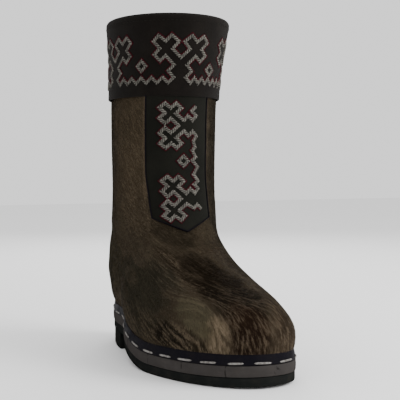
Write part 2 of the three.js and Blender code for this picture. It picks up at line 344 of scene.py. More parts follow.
    def leg_point(self, angle: Array, level: Array, distance: Array) -> Array:
        """Returns points of the leg at a level, a level distance outside the skin."""
        v = self.row_at_level(angle, np.minimum(level, self.collar_level))
        _, _, normal = self.axes(v, angle)
        normal[..., 2] = 0
        points = self.skin(v, angle) + unit(normal) * np.asarray(distance, float)[..., None]
        points[..., 2] = level
        return points

    def outline(self, angle: Array, distance: Number) -> Array:
        """Returns points of the sole's outline at a distance outside the feather line."""
        point = self.skin(0.0, angle)
        tangent = self.skin(0.0, angle + 0.01) - self.skin(0.0, angle - 0.01)
        tangent[..., 2] = 0
        tangent = unit(tangent)
        out = np.stack([tangent[..., 1], -tangent[..., 0], np.zeros_like(tangent[..., 0])], axis=-1)
        point = point + out * np.asarray(distance, float)[..., None]
        point[..., 2] = 0
        return point

    def along(self, points: Array) -> Array:
        """Returns the distance of each point from the back of the heel."""
        return self.shift[1] - points[..., 1]

    def seat_at(self, points: Array) -> Array:
        """Returns the height of the midsole's top under each point."""
        return self.seat(self.along(points))


class Tape:
    """A tape laid level round the leg, which turns a length from the front into a direction."""

    def __init__(self, surface: Place, low: float, high: float) -> None:
        """Measures the girth of a surface at levels from low to high."""
        self.levels = np.linspace(low, high, 48)
        self.angles = np.radians(np.linspace(-180, 180, 361))
        angle, level = np.meshgrid(self.angles, self.levels)
        steps = np.linalg.norm(np.diff(surface(angle, level), axis=1), axis=-1)
        run = np.concatenate([np.zeros((len(steps), 1)), np.cumsum(steps, axis=1)], axis=1)
        self.run = run - run[:, 180:181]
        self.girth = run[0, -1]

    def angle(self, along: Array, level: Array) -> Array:
        """Finds directions.

        Args:
            along: lengths round from the front, in metres, positive towards the inner side.
            level: the level at which each is laid.
        Returns:
            The direction of each, in radians.
        """
        place = (level - self.levels[0]) / (self.levels[1] - self.levels[0])
        place = np.clip(place, 0, len(self.levels) - 1.001)
        row = place.astype(int)
        run = mix(self.run[row], self.run[row + 1], (place - row)[:, None])
        rest = (along - run[:, 0]) % (run[:, -1] - run[:, 0]) + run[:, 0]
        step = np.clip((run <= rest[:, None]).sum(axis=1) - 1, 0, len(self.angles) - 2)
        pick = np.arange(len(rest))
        share = (rest - run[pick, step]) / (run[pick, step + 1] - run[pick, step])
        return mix(self.angles[step], self.angles[step + 1], share)


# Mesh work

def deselect() -> None:
    """Leaves nothing selected."""
    if bpy.context.object and bpy.context.object.mode != "OBJECT":
        bpy.ops.object.mode_set(mode="OBJECT")
    bpy.ops.object.select_all(action="DESELECT")


def smooth(piece: Piece, degrees: float = 180.0) -> None:
    """Shades a piece smooth, apart from edges sharper than an angle."""
    deselect()
    piece.select_set(True)
    bpy.context.view_layer.objects.active = piece
    if degrees >= 180:
        bpy.ops.object.shade_smooth()
    else:
        bpy.ops.object.shade_smooth_by_angle(angle=math.radians(degrees))


def tint(piece: Piece, name: str, colours: Array) -> None:
    """Keeps a colour on each vertex of a piece."""
    layer = piece.data.color_attributes.new(name=name, type="FLOAT_COLOR", domain="POINT")
    full = np.ones((len(colours), 4), dtype=np.float32)
    full[:, :3] = colours
    layer.data.foreach_set("color", full.ravel())


def measure(piece: Piece, name: str, values: Array) -> None:
    """Keeps a number on each vertex of a piece."""
    layer = piece.data.attributes.new(name=name, type="FLOAT", domain="POINT")
    layer.data.foreach_set("value", values.astype(np.float32))


def vertices(piece: Piece) -> Array:
    """Returns the places of a piece's vertices."""
    flat = np.empty(len(piece.data.vertices) * 3)
    piece.data.vertices.foreach_get("co", flat)
    return flat.reshape(-1, 3)


def wrap(name: str, columns: int, rows: int, place: Place, degrees: float = 180.0,
         close: Callable[[], object] | None = None) -> Piece:
    """Adds a grid and draws it over a surface, merges edges that meet and turns the faces outwards.

    Args:
        name: the new piece's name.
        columns: faces across the grid.
        rows: faces up the grid.
        place: gives a point for each share across and up.
        degrees: edges sharper than this stay sharp.
        close: the operator that closes the edges that stay open, if any do.
    Returns:
        The new piece, whose UV map holds the shares across and up.
    """
    deselect()
    bpy.ops.mesh.primitive_grid_add(x_subdivisions=columns, y_subdivisions=rows, size=2)
    piece = bpy.context.object
    piece.name = piece.data.name = name
    shares = (vertices(piece) + 1) / 2
    piece.data.vertices.foreach_set("co", place(shares[:, 0], shares[:, 1]).ravel())
    bpy.ops.object.mode_set(mode="EDIT")
    bpy.ops.mesh.select_all(action="SELECT")
    bpy.ops.mesh.remove_doubles(threshold=WELD)
    if close:
        bpy.ops.mesh.select_all(action="DESELECT")
        bpy.ops.mesh.select_non_manifold()
        close()
        bpy.ops.mesh.select_all(action="SELECT")
    bpy.ops.mesh.normals_make_consistent(inside=False)
    bpy.ops.object.mode_set(mode="OBJECT")
    piece.data.update()
    smooth(piece, degrees)
    return piece


def joined(name: str, points: Array, faces: Array, uv: Array | None = None,
           degrees: float = 180.0) -> Piece:
    """Makes one mesh of many small copies.

    Args:
        name: the new piece's name.
        points: all the vertices.
        faces: vertex numbers, one face a row.
        uv: a UV place for each vertex, if a pattern follows the copies.
        degrees: edges sharper than this stay sharp.
    Returns:
        The new piece.
    """
    mesh = bpy.data.meshes.new(name)
    corners = faces.shape[1]
    mesh.vertices.add(len(points))
    mesh.vertices.foreach_set("co", points.astype(np.float32).ravel())
    mesh.loops.add(faces.size)
    mesh.loops.foreach_set("vertex_index", faces.astype(np.int32).ravel())
    mesh.polygons.add(len(faces))
    mesh.polygons.foreach_set("loop_start", np.arange(0, faces.size, corners, dtype=np.int32))
    mesh.polygons.foreach_set("loop_total", np.full(len(faces), corners, dtype=np.int32))
    if uv is not None:
        layer = mesh.uv_layers.new(name="UVMap")
        layer.data.foreach_set("uv", uv[faces.ravel()].astype(np.float32).ravel())
    mesh.update(calc_edges=True)
    mesh.validate()
    piece = bpy.data.objects.new(name, mesh)
    bpy.context.collection.objects.link(piece)
    smooth(piece, degrees)
    return piece


def strand_faces(count: int, ring: int, start: int, closed: bool) -> list[tuple[int, ...]]:
    """Finds the faces of a strand made of rings of vertices.

    Args:
        count: how many rings.
        ring: vertices in a ring, an even number.
        start: number of the first vertex.
        closed: whether its ends meet, so that they need no faces.
    Returns:
        The vertex numbers of each face.
    """
    faces = []
    for base in range(start, start + (count - 1) * ring, ring):
        for j in range(ring):
            a, b = base + j, base + (j + 1) % ring
            faces.append((a, a + ring, b + ring, b))
    if not closed:
        for base, order in ((start, 1), (start + (count - 1) * ring, -1)):
            end = range(base, base + ring)[::order]
            faces += [(end[j], end[j + 1], end[ring - 2 - j], end[ring - 1 - j])
                      for j in range(ring // 2 - 1)]
    return faces


def fasten(piece: Piece, slot: str, finish: str, *nodes: str) -> None:
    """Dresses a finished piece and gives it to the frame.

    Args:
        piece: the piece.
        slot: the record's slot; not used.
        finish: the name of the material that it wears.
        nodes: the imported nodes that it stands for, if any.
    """
    piece.data.materials.clear()
    piece.data.materials.append(bpy.data.materials[finish])
    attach(piece, "root")
    if nodes:
        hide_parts(*nodes)
    LOG.info("%s: %d faces", piece.name, len(piece.data.polygons))


# Finishes

class Nodes:
    """A short way to lay out the nodes of one material or group."""

    def __init__(self, tree: bpy.types.NodeTree) -> None:
        """Starts with an empty tree."""
        self.tree = tree
        self.count = 0

    def add(self, kind: str, inputs: dict | None = None, **settings: object) -> bpy.types.Node:
        """Adds a node.

        Args:
            kind: the node's type.
            inputs: a value, or another node's output, for each named or numbered input.
            settings: the node's own properties.
        Returns:
            The new node.
        """
        node = self.tree.nodes.new(kind)
        node.location = (self.count % 8 * 200, -(self.count // 8) * 260)
        self.count += 1
        for key, value in settings.items():
            setattr(node, key, value)
        for key, value in (inputs or {}).items():
            self.feed(node.inputs[key], value)
        return node

    def feed(self, socket: Socket, value: object) -> None:
        """Links an output to an input, or sets the input's value."""
        if isinstance(value, Socket):
            self.tree.links.new(value, socket)
        elif isinstance(value, tuple) and len(value) == 3 and socket.type == "RGBA":
            socket.default_value = (*value, 1.0)
        else:
            socket.default_value = value

    def math(self, kind: str, first: object, second: object) -> Socket:
        """Returns the output of a Math node."""
        return self.add("ShaderNodeMath", {0: first, 1: second}, operation=kind).outputs[0]

    def times(self, first: object, second: object) -> Socket:
        """Returns a product."""
        return self.math("MULTIPLY", first, second)

    def plus(self, first: object, second: object) -> Socket:
        """Returns a sum."""
        return self.math("ADD", first, second)

    def ramp(self, value: object, low: float, high: float, start: float = 0.0,
             end: float = 1.0) -> Socket:
        """Returns a value mapped smoothly from one range to another."""
        inputs = {"Value": value, "From Min": low, "From Max": high, "To Min": start, "To Max": end}
        return self.add("ShaderNodeMapRange", inputs, interpolation_type="SMOOTHSTEP").outputs[0]

    def noise(self, vector: object, scale: float, detail: float = 3.0,
              rough: float = 0.5) -> Socket:
        """Returns the value of a Noise Texture."""
        inputs = {"Vector": vector, "Scale": scale, "Detail": detail, "Roughness": rough}
        return self.add("ShaderNodeTexNoise", inputs).outputs[0]

    def cloud(self, vector: object, scale: float, low: float, high: float,
              detail: float = 4.0, rough: float = 0.6) -> Socket:
        """Returns soft patches of 0 to 1 where a noise lies between two values."""
        return self.ramp(self.noise(vector, scale, detail, rough), low, high)

    def blend(self, share: object, first: object, second: object, kind: str = "MIX") -> Socket:
        """Returns two colours mixed."""
        node = self.add("ShaderNodeMix", data_type="RGBA", blend_type=kind)
        for place, value in ((0, share), (6, first), (7, second)):
            self.feed(node.inputs[place], value)
        return node.outputs[2]

    def stretch(self, vector: object, scale: Triple, degrees: float = 0.0) -> Socket:
        """Returns coordinates stretched, and turned round the third axis."""
        inputs = {"Vector": vector, "Scale": scale, "Rotation": (0.0, 0.0, math.radians(degrees))}
        return self.add("ShaderNodeMapping", inputs).outputs[0]

    def bump(self, height: object, distance: float, strength: float) -> Socket:
        """Returns a normal raised by a height."""
        inputs = {"Height": height, "Distance": distance, "Strength": strength}
        return self.add("ShaderNodeBump", inputs).outputs[0]

    def shade(self, colour: object, roughness: object, specular: float,
              normal: Socket | None = None) -> bpy.types.Node:
        """Adds the shader and the output of a material.

        Args:
            colour: the base colour.
            roughness: how matt it is.
            specular: how strongly it mirrors light.
            normal: a raised normal, if there is one.
        Returns:
            The shader.
        """
        inputs = {"Base Color": colour, "Roughness": roughness, "Specular IOR Level": specular}
        if normal is not None:
            inputs["Normal"] = normal
        shader = self.add("ShaderNodeBsdfPrincipled", inputs)
        self.add("ShaderNodeOutputMaterial", {"Surface": shader.outputs[0]})
        return shader


class Effect(Enum):
    """The surface effects that several finishes share."""

    NAP = "wool_nap"
    SCUFF = "rubber_scuff"
    DUST = "settled_dust"


class Effects:
    """Builds each shared effect once and puts it into materials."""

    def __init__(self) -> None:
        """Makes the three groups."""
        self.groups = {
            Effect.NAP: self.wool_nap(),
            Effect.SCUFF: self.rubber_scuff(),
            Effect.DUST: self.settled_dust(),
        }

    @staticmethod
    def group(effect: Effect, **inputs: float) -> tuple[Nodes, bpy.types.Node]:
        """Starts a group with a vector and number inputs."""
        tree = bpy.data.node_groups.new(effect.value, "ShaderNodeTree")
        tree.interface.new_socket(name="Vector", in_out="INPUT", socket_type="NodeSocketVector")
        for name, value in inputs.items():
            socket = tree.interface.new_socket(name=name, in_out="INPUT", socket_type=NUMBER)
            socket.default_value = value
        nodes = Nodes(tree)
        return nodes, nodes.add("NodeGroupInput")

    @staticmethod
    def close(nodes: Nodes, **outputs: Socket) -> bpy.types.NodeTree:
        """Ends a group with number outputs."""
        for name in outputs:
            nodes.tree.interface.new_socket(name=name, in_out="OUTPUT", socket_type=NUMBER)
        nodes.add("NodeGroupOutput", outputs)
        return nodes.tree

    def wool_nap(self) -> bpy.types.NodeTree:
        """Returns the matted fibres of felt: a height, and a mask of paler fibres."""
        nodes, given = self.group(Effect.NAP, Size=1.0)
        inputs = {0: given.outputs["Vector"], 1: given.outputs["Size"]}
        vector = nodes.add("ShaderNodeVectorMath", inputs, operation="MULTIPLY").outputs[0]
        warp = nodes.add("ShaderNodeTexNoise", {"Vector": vector, "Scale": 260.0, "Detail": 2.0})
        inputs = {0: warp.outputs[1], 1: (0.012, 0.012, 0.012), 2: vector}
        bent = nodes.add("ShaderNodeVectorMath", inputs, operation="MULTIPLY_ADD").outputs[0]
        fine = nodes.noise(bent, 1400.0, 4.0, 0.65)
        coarse = nodes.noise(bent, 320.0, 3.0, 0.6)
        height = nodes.plus(nodes.times(fine, 0.6), nodes.times(coarse, 0.7))
        return self.close(nodes, Height=height, Fibre=nodes.ramp(fine, 0.55, 0.78))

    def rubber_scuff(self) -> bpy.types.NodeTree:
        """Returns scuffed rubber: a height, and a mask of rubbed places."""
        nodes, given = self.group(Effect.SCUFF)
        vector = given.outputs["Vector"]
        grain = nodes.noise(vector, 900.0, 3.0, 0.6)
        patches = nodes.cloud(vector, 46.0, 0.46, 0.66, rough=0.62)
        drawn = nodes.noise(nodes.stretch(vector, (40.0, 40.0, 420.0)), 1.0, 3.0, 0.6)
        height = nodes.plus(nodes.times(grain, 0.5), nodes.times(drawn, 0.6))
        rubbed = nodes.times(patches, nodes.ramp(drawn, 0.35, 0.7))
        return self.close(nodes, Height=height, Rubbed=rubbed)

    def settled_dust(self) -> bpy.types.NodeTree:
        """Returns a mask of dust, thicker near the floor."""
        nodes, given = self.group(Effect.DUST, Reach=0.05, Amount=0.5)
        vector = given.outputs["Vector"]
        height = nodes.add("ShaderNodeSeparateXYZ", {0: vector}).outputs[2]
        low = nodes.add("ShaderNodeMapRange", {"Value": height, "From Min": 0.0, "To Min": 1.0,
                                               "From Max": given.outputs["Reach"], "To Max": 0.12})
        cloud = nodes.cloud(vector, 85.0, 0.42, 0.72, 5.0, 0.65)
        return self.close(nodes, Dust=nodes.times(nodes.times(cloud, low.outputs[0]),
                                                  given.outputs["Amount"]))

    def place(self, nodes: Nodes, effect: Effect, **inputs: object) -> bpy.types.Node:
        """Puts an effect into a material's tree."""
        return nodes.add("ShaderNodeGroup", inputs, node_tree=self.groups[effect])


def material(name: str) -> tuple[Nodes, Socket, Socket]:
    """Starts a material and returns its nodes, its Object coordinates and its UV coordinates."""
    made = bpy.data.materials.new(name)
    made.use_nodes = True
    made.node_tree.nodes.clear()
    nodes = Nodes(made.node_tree)
    coordinates = nodes.add("ShaderNodeTexCoord")
    return nodes, coordinates.outputs["Object"], coordinates.outputs["UV"]


def darker(colour: Triple, share: float) -> Triple:
    """Returns a share of a colour."""
    red, green, blue = colour
    return share * red, share * green, share * blue


@dataclass(frozen=True)
class FeltFinish:
    """Wool felt with paler fibres and lint."""

    name: str
    colour: Triple
    fibre: Triple
    lint: float = 0.35
    sheen: float = 0.02
    sheen_roughness: float = 0.6
    roughness: float = 0.95

    def make(self, effects: Effects) -> None:
        """Builds the material."""
        nodes, place, _ = material(self.name)
        nap = effects.place(nodes, Effect.NAP, Vector=place)
        worn = nodes.times(nodes.cloud(place, 34.0, 0.35, 0.70), 0.35)
        lint = nodes.times(nap.outputs["Fibre"], self.lint)
        colour = nodes.blend(lint, nodes.blend(worn, self.colour, self.fibre), self.fibre)
        normal = nodes.bump(nap.outputs["Height"], 0.0005, 0.8)
        shader = nodes.shade(colour, self.roughness, 0.05, normal)
        shader.inputs["Sheen Weight"].default_value = self.sheen
        shader.inputs["Sheen Roughness"].default_value = self.sheen_roughness


@dataclass(frozen=True)
class RubberFinish:
    """Moulded rubber with rubbed places, dust and, where asked, upright nicks."""

    name: str
    colour: Triple
    rubbed: Triple
    dust: float = 0.4
    nick_pitch: float = 0.0
    dusty: Triple = seen(84, 78, 70)

    def make(self, effects: Effects) -> None:
        """Builds the material."""
        nodes, place, _ = material(self.name)
        scuff = effects.place(nodes, Effect.SCUFF, Vector=place)
        dust = effects.place(nodes, Effect.DUST, Vector=place, Reach=0.05, Amount=self.dust)
        colour = nodes.blend(nodes.times(scuff.outputs["Rubbed"], 0.55), self.colour, self.rubbed)
        cloud = nodes.times(nodes.cloud(place, 70.0, 0.3, 0.75), 0.5)
        colour = nodes.blend(cloud, colour, darker(self.colour, 0.68))
        height = nodes.times(scuff.outputs["Height"], 0.25)
        if self.nick_pitch:
            nick = self.nicks(nodes, place)
            colour = nodes.blend(nodes.times(nick, 0.75), colour, darker(self.colour, 0.25))
            height = nodes.math("SUBTRACT", height, nick)
        colour = nodes.blend(dust.outputs["Dust"], colour, self.dusty)
        rough = nodes.ramp(scuff.outputs["Rubbed"], 0.0, 1.0, 0.62, 0.85)
        nodes.shade(colour, rough, 0.0, nodes.bump(height, 0.0008, 0.7))

    def nicks(self, nodes: Nodes, place: Socket) -> Socket:
        """Returns a mask of the upright nicks, broken here and there."""
        girth = nodes.add("ShaderNodeAttribute", attribute_name="girth").outputs["Fac"]
        wander = nodes.times(nodes.noise(place, 120.0, 2.0), 0.0016)
        phase = nodes.math("PINGPONG", nodes.plus(girth, wander), self.nick_pitch / 2)
        broken = nodes.cloud(place, 210.0, 0.42, 0.55, 2.0, 0.5)
        return nodes.times(nodes.ramp(phase, 0.0002, 0.0009, 1.0, 0.0), broken)


@dataclass(frozen=True)
class LeatherFinish:
    """Close-grained leather strip."""

    name: str
    colour: Triple
    worn: Triple
    dusty: Triple = seen(60, 55, 50)

    def make(self, effects: Effects) -> None:
        """Builds the material."""
        nodes, place, _ = material(self.name)
        pores = nodes.add("ShaderNodeTexVoronoi", {"Vector": place, "Scale": 900.0})
        cloud = nodes.cloud(place, 60.0, 0.42, 0.72, 5.0)
        dust = effects.place(nodes, Effect.DUST, Vector=place, Reach=0.08, Amount=0.25)
        colour = nodes.blend(nodes.times(cloud, 0.6), self.colour, self.worn)
        colour = nodes.blend(dust.outputs["Dust"], colour, self.dusty)
        height = nodes.plus(pores.outputs["Distance"], nodes.times(nodes.noise(place, 200.0), 1.6))
        nodes.shade(colour, nodes.ramp(cloud, 0.0, 1.0, 0.50, 0.72), 0.02,
                    nodes.bump(height, 0.0003, 0.6))


@dataclass(frozen=True)
class BraidFinish:
    """Stitched wool braid with a fine slanting hatch across it."""

    name: str
    light: Triple
    dark: Triple
    hatch: float = 0.0021
    slant: float = 38.0

    def make(self, effects: Effects) -> None:
        """Builds the material, which needs no shared effect."""
        nodes, place, flat = material(self.name)
        turned = nodes.stretch(flat, (1.0, 1.0, 1.0), self.slant)
        across = nodes.add("ShaderNodeSeparateXYZ", {0: turned}).outputs[0]
        jitter = nodes.times(nodes.noise(place, 700.0, 2.0), self.hatch * 0.8)
        phase = nodes.math("PINGPONG", nodes.plus(across, jitter), self.hatch / 2)
        thread = nodes.ramp(phase, 0.0, self.hatch * 0.32)
        soil = nodes.ramp(nodes.noise(place, 230.0, 4.0, 0.65), 0.38, 0.68, 0.55, 1.0)
        colour = nodes.blend(nodes.times(thread, soil), self.dark, self.light)
        nodes.shade(colour, 0.85, 0.1, nodes.bump(thread, 0.0005, 0.9))


@dataclass(frozen=True)
class ThreadFinish:
    """Twisted sewing thread or cord of one colour."""

    name: str
    colour: Triple
    soiled: Triple
    twist: float = 700.0
    slant: float = 50.0

    def make(self, effects: Effects) -> None:
        """Builds the material."""
        nodes, place, flat = material(self.name)
        nap = effects.place(nodes, Effect.NAP, Vector=place, Size=1.2)
        colour = nodes.blend(nodes.cloud(place, 300.0, 0.4, 0.7), self.colour, self.soiled)
        turned = nodes.stretch(flat, (1.0, 1.0, 1.0), self.slant)
        wave = nodes.add("ShaderNodeTexWave", {"Vector": turned, "Scale": self.twist})
        height = nodes.plus(wave.outputs["Fac"], nodes.times(nap.outputs["Height"], 0.5))
        nodes.shade(colour, 0.75, 0.05, nodes.bump(height, 0.0002, 0.7))


@dataclass(frozen=True)
class HairFinish:
    """Short hair that takes its colour from the colour kept on its vertices: the coat's pattern,
    with painted shade and painted highlights in it.
    """

    name: str
    roughness: float = 0.55
    streaks: float = 0.0

    def make(self, effects: Effects) -> None:
        """Builds the material, which needs no shared effect."""
        nodes, _, flat = material(self.name)
        colour = nodes.add("ShaderNodeAttribute", attribute_name="coat").outputs["Color"]
        normal = None
        if self.streaks:
            streak = nodes.noise(nodes.stretch(flat, (420.0, 90.0, 1.0)), 1.0, 4.0, 0.65)
            dark = nodes.blend(1.0, colour, (0.45, 0.45, 0.45), "MULTIPLY")
            colour = nodes.blend(nodes.ramp(streak, 0.35, 0.62), dark, colour)
            normal = nodes.bump(streak, 0.001, self.streaks)
        nodes.shade(colour, self.roughness, 0.02, normal)


# The sole

@dataclass
class SoleOutline:
    """The sole's outline at any distance from the feather line, read by place along the foot."""

    last: Last
    grain: int = 3000

    def sides(self, distance: float) -> tuple[Array, Array, Array, Array]:
        """Returns y and x of the outer side, then of the inner side, from back to front."""
        angle = np.linspace(math.pi, 0.0, self.grain)
        outer = self.last.outline(-angle, distance)
        inner = self.last.outline(angle, distance)
        return outer[:, 1], outer[:, 0], inner[:, 1], inner[:, 0]

    def across(self, distance: float, share: Array, side: Array,
               front: float | None = None) -> Array:
        """Finds points inside the outline.

        Args:
            distance: of the outline from the feather line.
            share: from the back of the heel to the toe, or to front.
            side: -1 at the outer edge and 1 at the inner edge.
            front: the y at which the piece ends, if it ends short of the toe.
        Returns:
            Points on the floor.
        """
        yo, xo, yi, xi = self.sides(distance)
        end = min(yo[-1], yi[-1]) if front is None else front
        y = mix(max(yo[0], yi[0]), end, share)
        x = mix(np.interp(-y, -yo, xo), np.interp(-y, -yi, xi), (side + 1) / 2)
        return np.stack([x, y, np.zeros_like(y)], axis=-1)

    def girth(self, distance: float, points: Array) -> Array:
        """Returns the distance round the edge from the toe, for each vertex."""
        yo, xo, yi, xi = self.sides(distance)
        run_outer = run_along(np.stack([yo, xo], axis=1))
        run_inner = run_along(np.stack([yi, xi], axis=1))
        ahead = -points[:, 1]
        middle = (np.interp(ahead, -yo, xo) + np.interp(ahead, -yi, xi)) / 2
        outer = run_outer[-1] - np.interp(ahead, -yo, run_outer)
        inner = np.interp(ahead, -yi, run_inner) - run_inner[-1]
        return np.where(points[:, 0] < middle, outer, inner) + 1.0


@dataclass
class SoleLayer:
    """One layer of the sole: its outline, its two faces and the form of its edge."""

    name: str
    distance: float
    low: Callable[[Array], Array]
    high: Callable[[Array], Array]
    edge: float = 0.0010
    bulge: float = 0.0
    front: float | None = None
    grooves: tuple[float, ...] = ()
    groove_width: float = 0.005
    groove_depth: float = 0.0025
    groove_brink: float = 0.01
    columns: int = 14
    stations: int = 150
    sharp: float = 34.0

    def profile(self) -> list[tuple[float, float, float, float]]:
        """Returns the section as side, inset, share of the height and lift of each point."""
        e = self.edge
        face = np.linspace(-1, 1, self.columns + 1)
        rim = [(0.3 * e, 0.0, 0.3 * e), (0.0, 0.0, e), (-self.bulge, 0.5, 0.0), (0.0, 1.0, -e),
               (0.3 * e, 1.0, -0.3 * e)]
        ring = [(c, e, 0.0, 0.0) for c in face] + [(1.0, *p) for p in rim]
        ring += [(c, e, 1.0, 0.0) for c in face[::-1]] + [(-1.0, *p) for p in rim[::-1]]
        return ring + ring[:1]

    def shares(self, last: Last, back: float, end: float) -> Array:
        """Returns where the cross sections stand, with some at each groove's brinks."""
        if self.front is None:
            shares = (1 - np.cos(np.linspace(0, math.pi, self.stations))) / 2
        else:
            shares = 1 - np.cos(np.linspace(0, math.pi / 2, self.stations))
        brinks = np.array([-1, -1, 1, 1]) * 0.5 + np.array([-1, 1, -1, 1]) * self.groove_brink
        cuts = [last.shift[1] - along - brinks * self.groove_width for along in self.grooves]
        return np.unique(np.concatenate([shares, *((cut - back) / (end - back) for cut in cuts)]))

    def build(self, last: Last) -> Piece:
        """Builds the layer as a loft of cross sections from the heel to the toe.

        Args:
            last: the form that the sole fits.
        Returns:
            The piece, with the distance round its edge kept as girth.
        """
        outline = SoleOutline(last)
        ends = outline.across(self.distance, np.array([0.0, 1.0]), np.zeros(2), self.front)
        shares = self.shares(last, *ends[:, 1])
        profile = self.profile()
        grid = np.zeros((len(shares), len(profile), 3))
        for k, (side, inset, top, lift) in enumerate(profile):
            sides = np.full(len(shares), side)
            points = outline.across(self.distance - inset, shares, sides, self.front)
            along = last.along(points)
            low = self.low(along)
            if top == 0 and inset == self.edge:
                for centre in self.grooves:
                    low += self.groove_depth * (np.abs(along - centre) < self.groove_width / 2)
            points[:, 2] = mix(low, self.high(along), top) + lift
            grid[:, k] = points

        def place(u: Array, w: Array) -> Array:
            """Reads the loft."""
            i = np.rint(w * (len(shares) - 1)).astype(int)
            j = np.rint(u * (len(profile) - 1)).astype(int)
            return grid[i, j]

        close = None if self.front is None else bpy.ops.mesh.edge_face_add
        piece = wrap(self.name, len(profile) - 1, len(shares) - 1, place, self.sharp, close)
        measure(piece, "girth", outline.girth(self.distance, vertices(piece)))
        return piece


@dataclass
class Sole:
    """Outsole, heel, midsole and insole."""

    last: Last
    margin: float = 0.008
    step: float = 0.0008
    heel_inset: float = 0.0008
    heel_length: float = 0.064
    tread: Triple = (0.60, 0.94, 0.015)
    heel_tread: Pair = (0.35, 0.70)
    insole_inset: float = 0.0040
    insole_thickness: float = 0.004

    def midsole_floor(self, along: Array) -> Array:
        """Returns the height of the midsole's underside."""
        return self.last.seat(along) - self.last.midsole_thickness

    def outsole_floor(self, along: Array) -> Array:
        """Returns the height of the outsole's underside."""
        return np.maximum(0.0, self.midsole_floor(along) - self.last.outsole_thickness)

    def build(self) -> None:
        """Builds and dresses the layers."""
        last, gap = self.last, self.last.clearance
        first, end, pitch = self.tread
        tread = tuple(np.arange(last.last_length * first, last.last_length * end, pitch))
        heel_tread = tuple(self.heel_length * share for share in self.heel_tread)
        breast = last.shift[1] - self.heel_length
        out = self.margin - self.step
        layers = (
            (SoleLayer("outsole_rubber_layer", out, self.outsole_floor,
                       lambda y: self.midsole_floor(y) - gap, 0.0009, grooves=tread),
             "outsole_rubber", "black_rubber", "outsole"),
            (SoleLayer("midsole_grey_layer", self.margin, self.midsole_floor, last.seat,
                       bulge=0.0003),
             "midsole_rubber", "grey_rubber", "midsole"),
            (SoleLayer("heel_block", out - self.heel_inset, np.zeros_like,
                       lambda y: self.outsole_floor(y) - gap, front=breast,
                       grooves=heel_tread, stations=70),
             "outsole_rubber", "black_rubber", "heel"),
            (SoleLayer("insole_felt_sole", -self.insole_inset, lambda y: last.seat(y) + gap,
                       lambda y: last.seat(y) + gap + self.insole_thickness),
             "insole_felt", "sock_felt", "insole"),
        )
        for layer, slot, finish, node in layers:
            fasten(layer.build(last), slot, finish, node)


# The welt

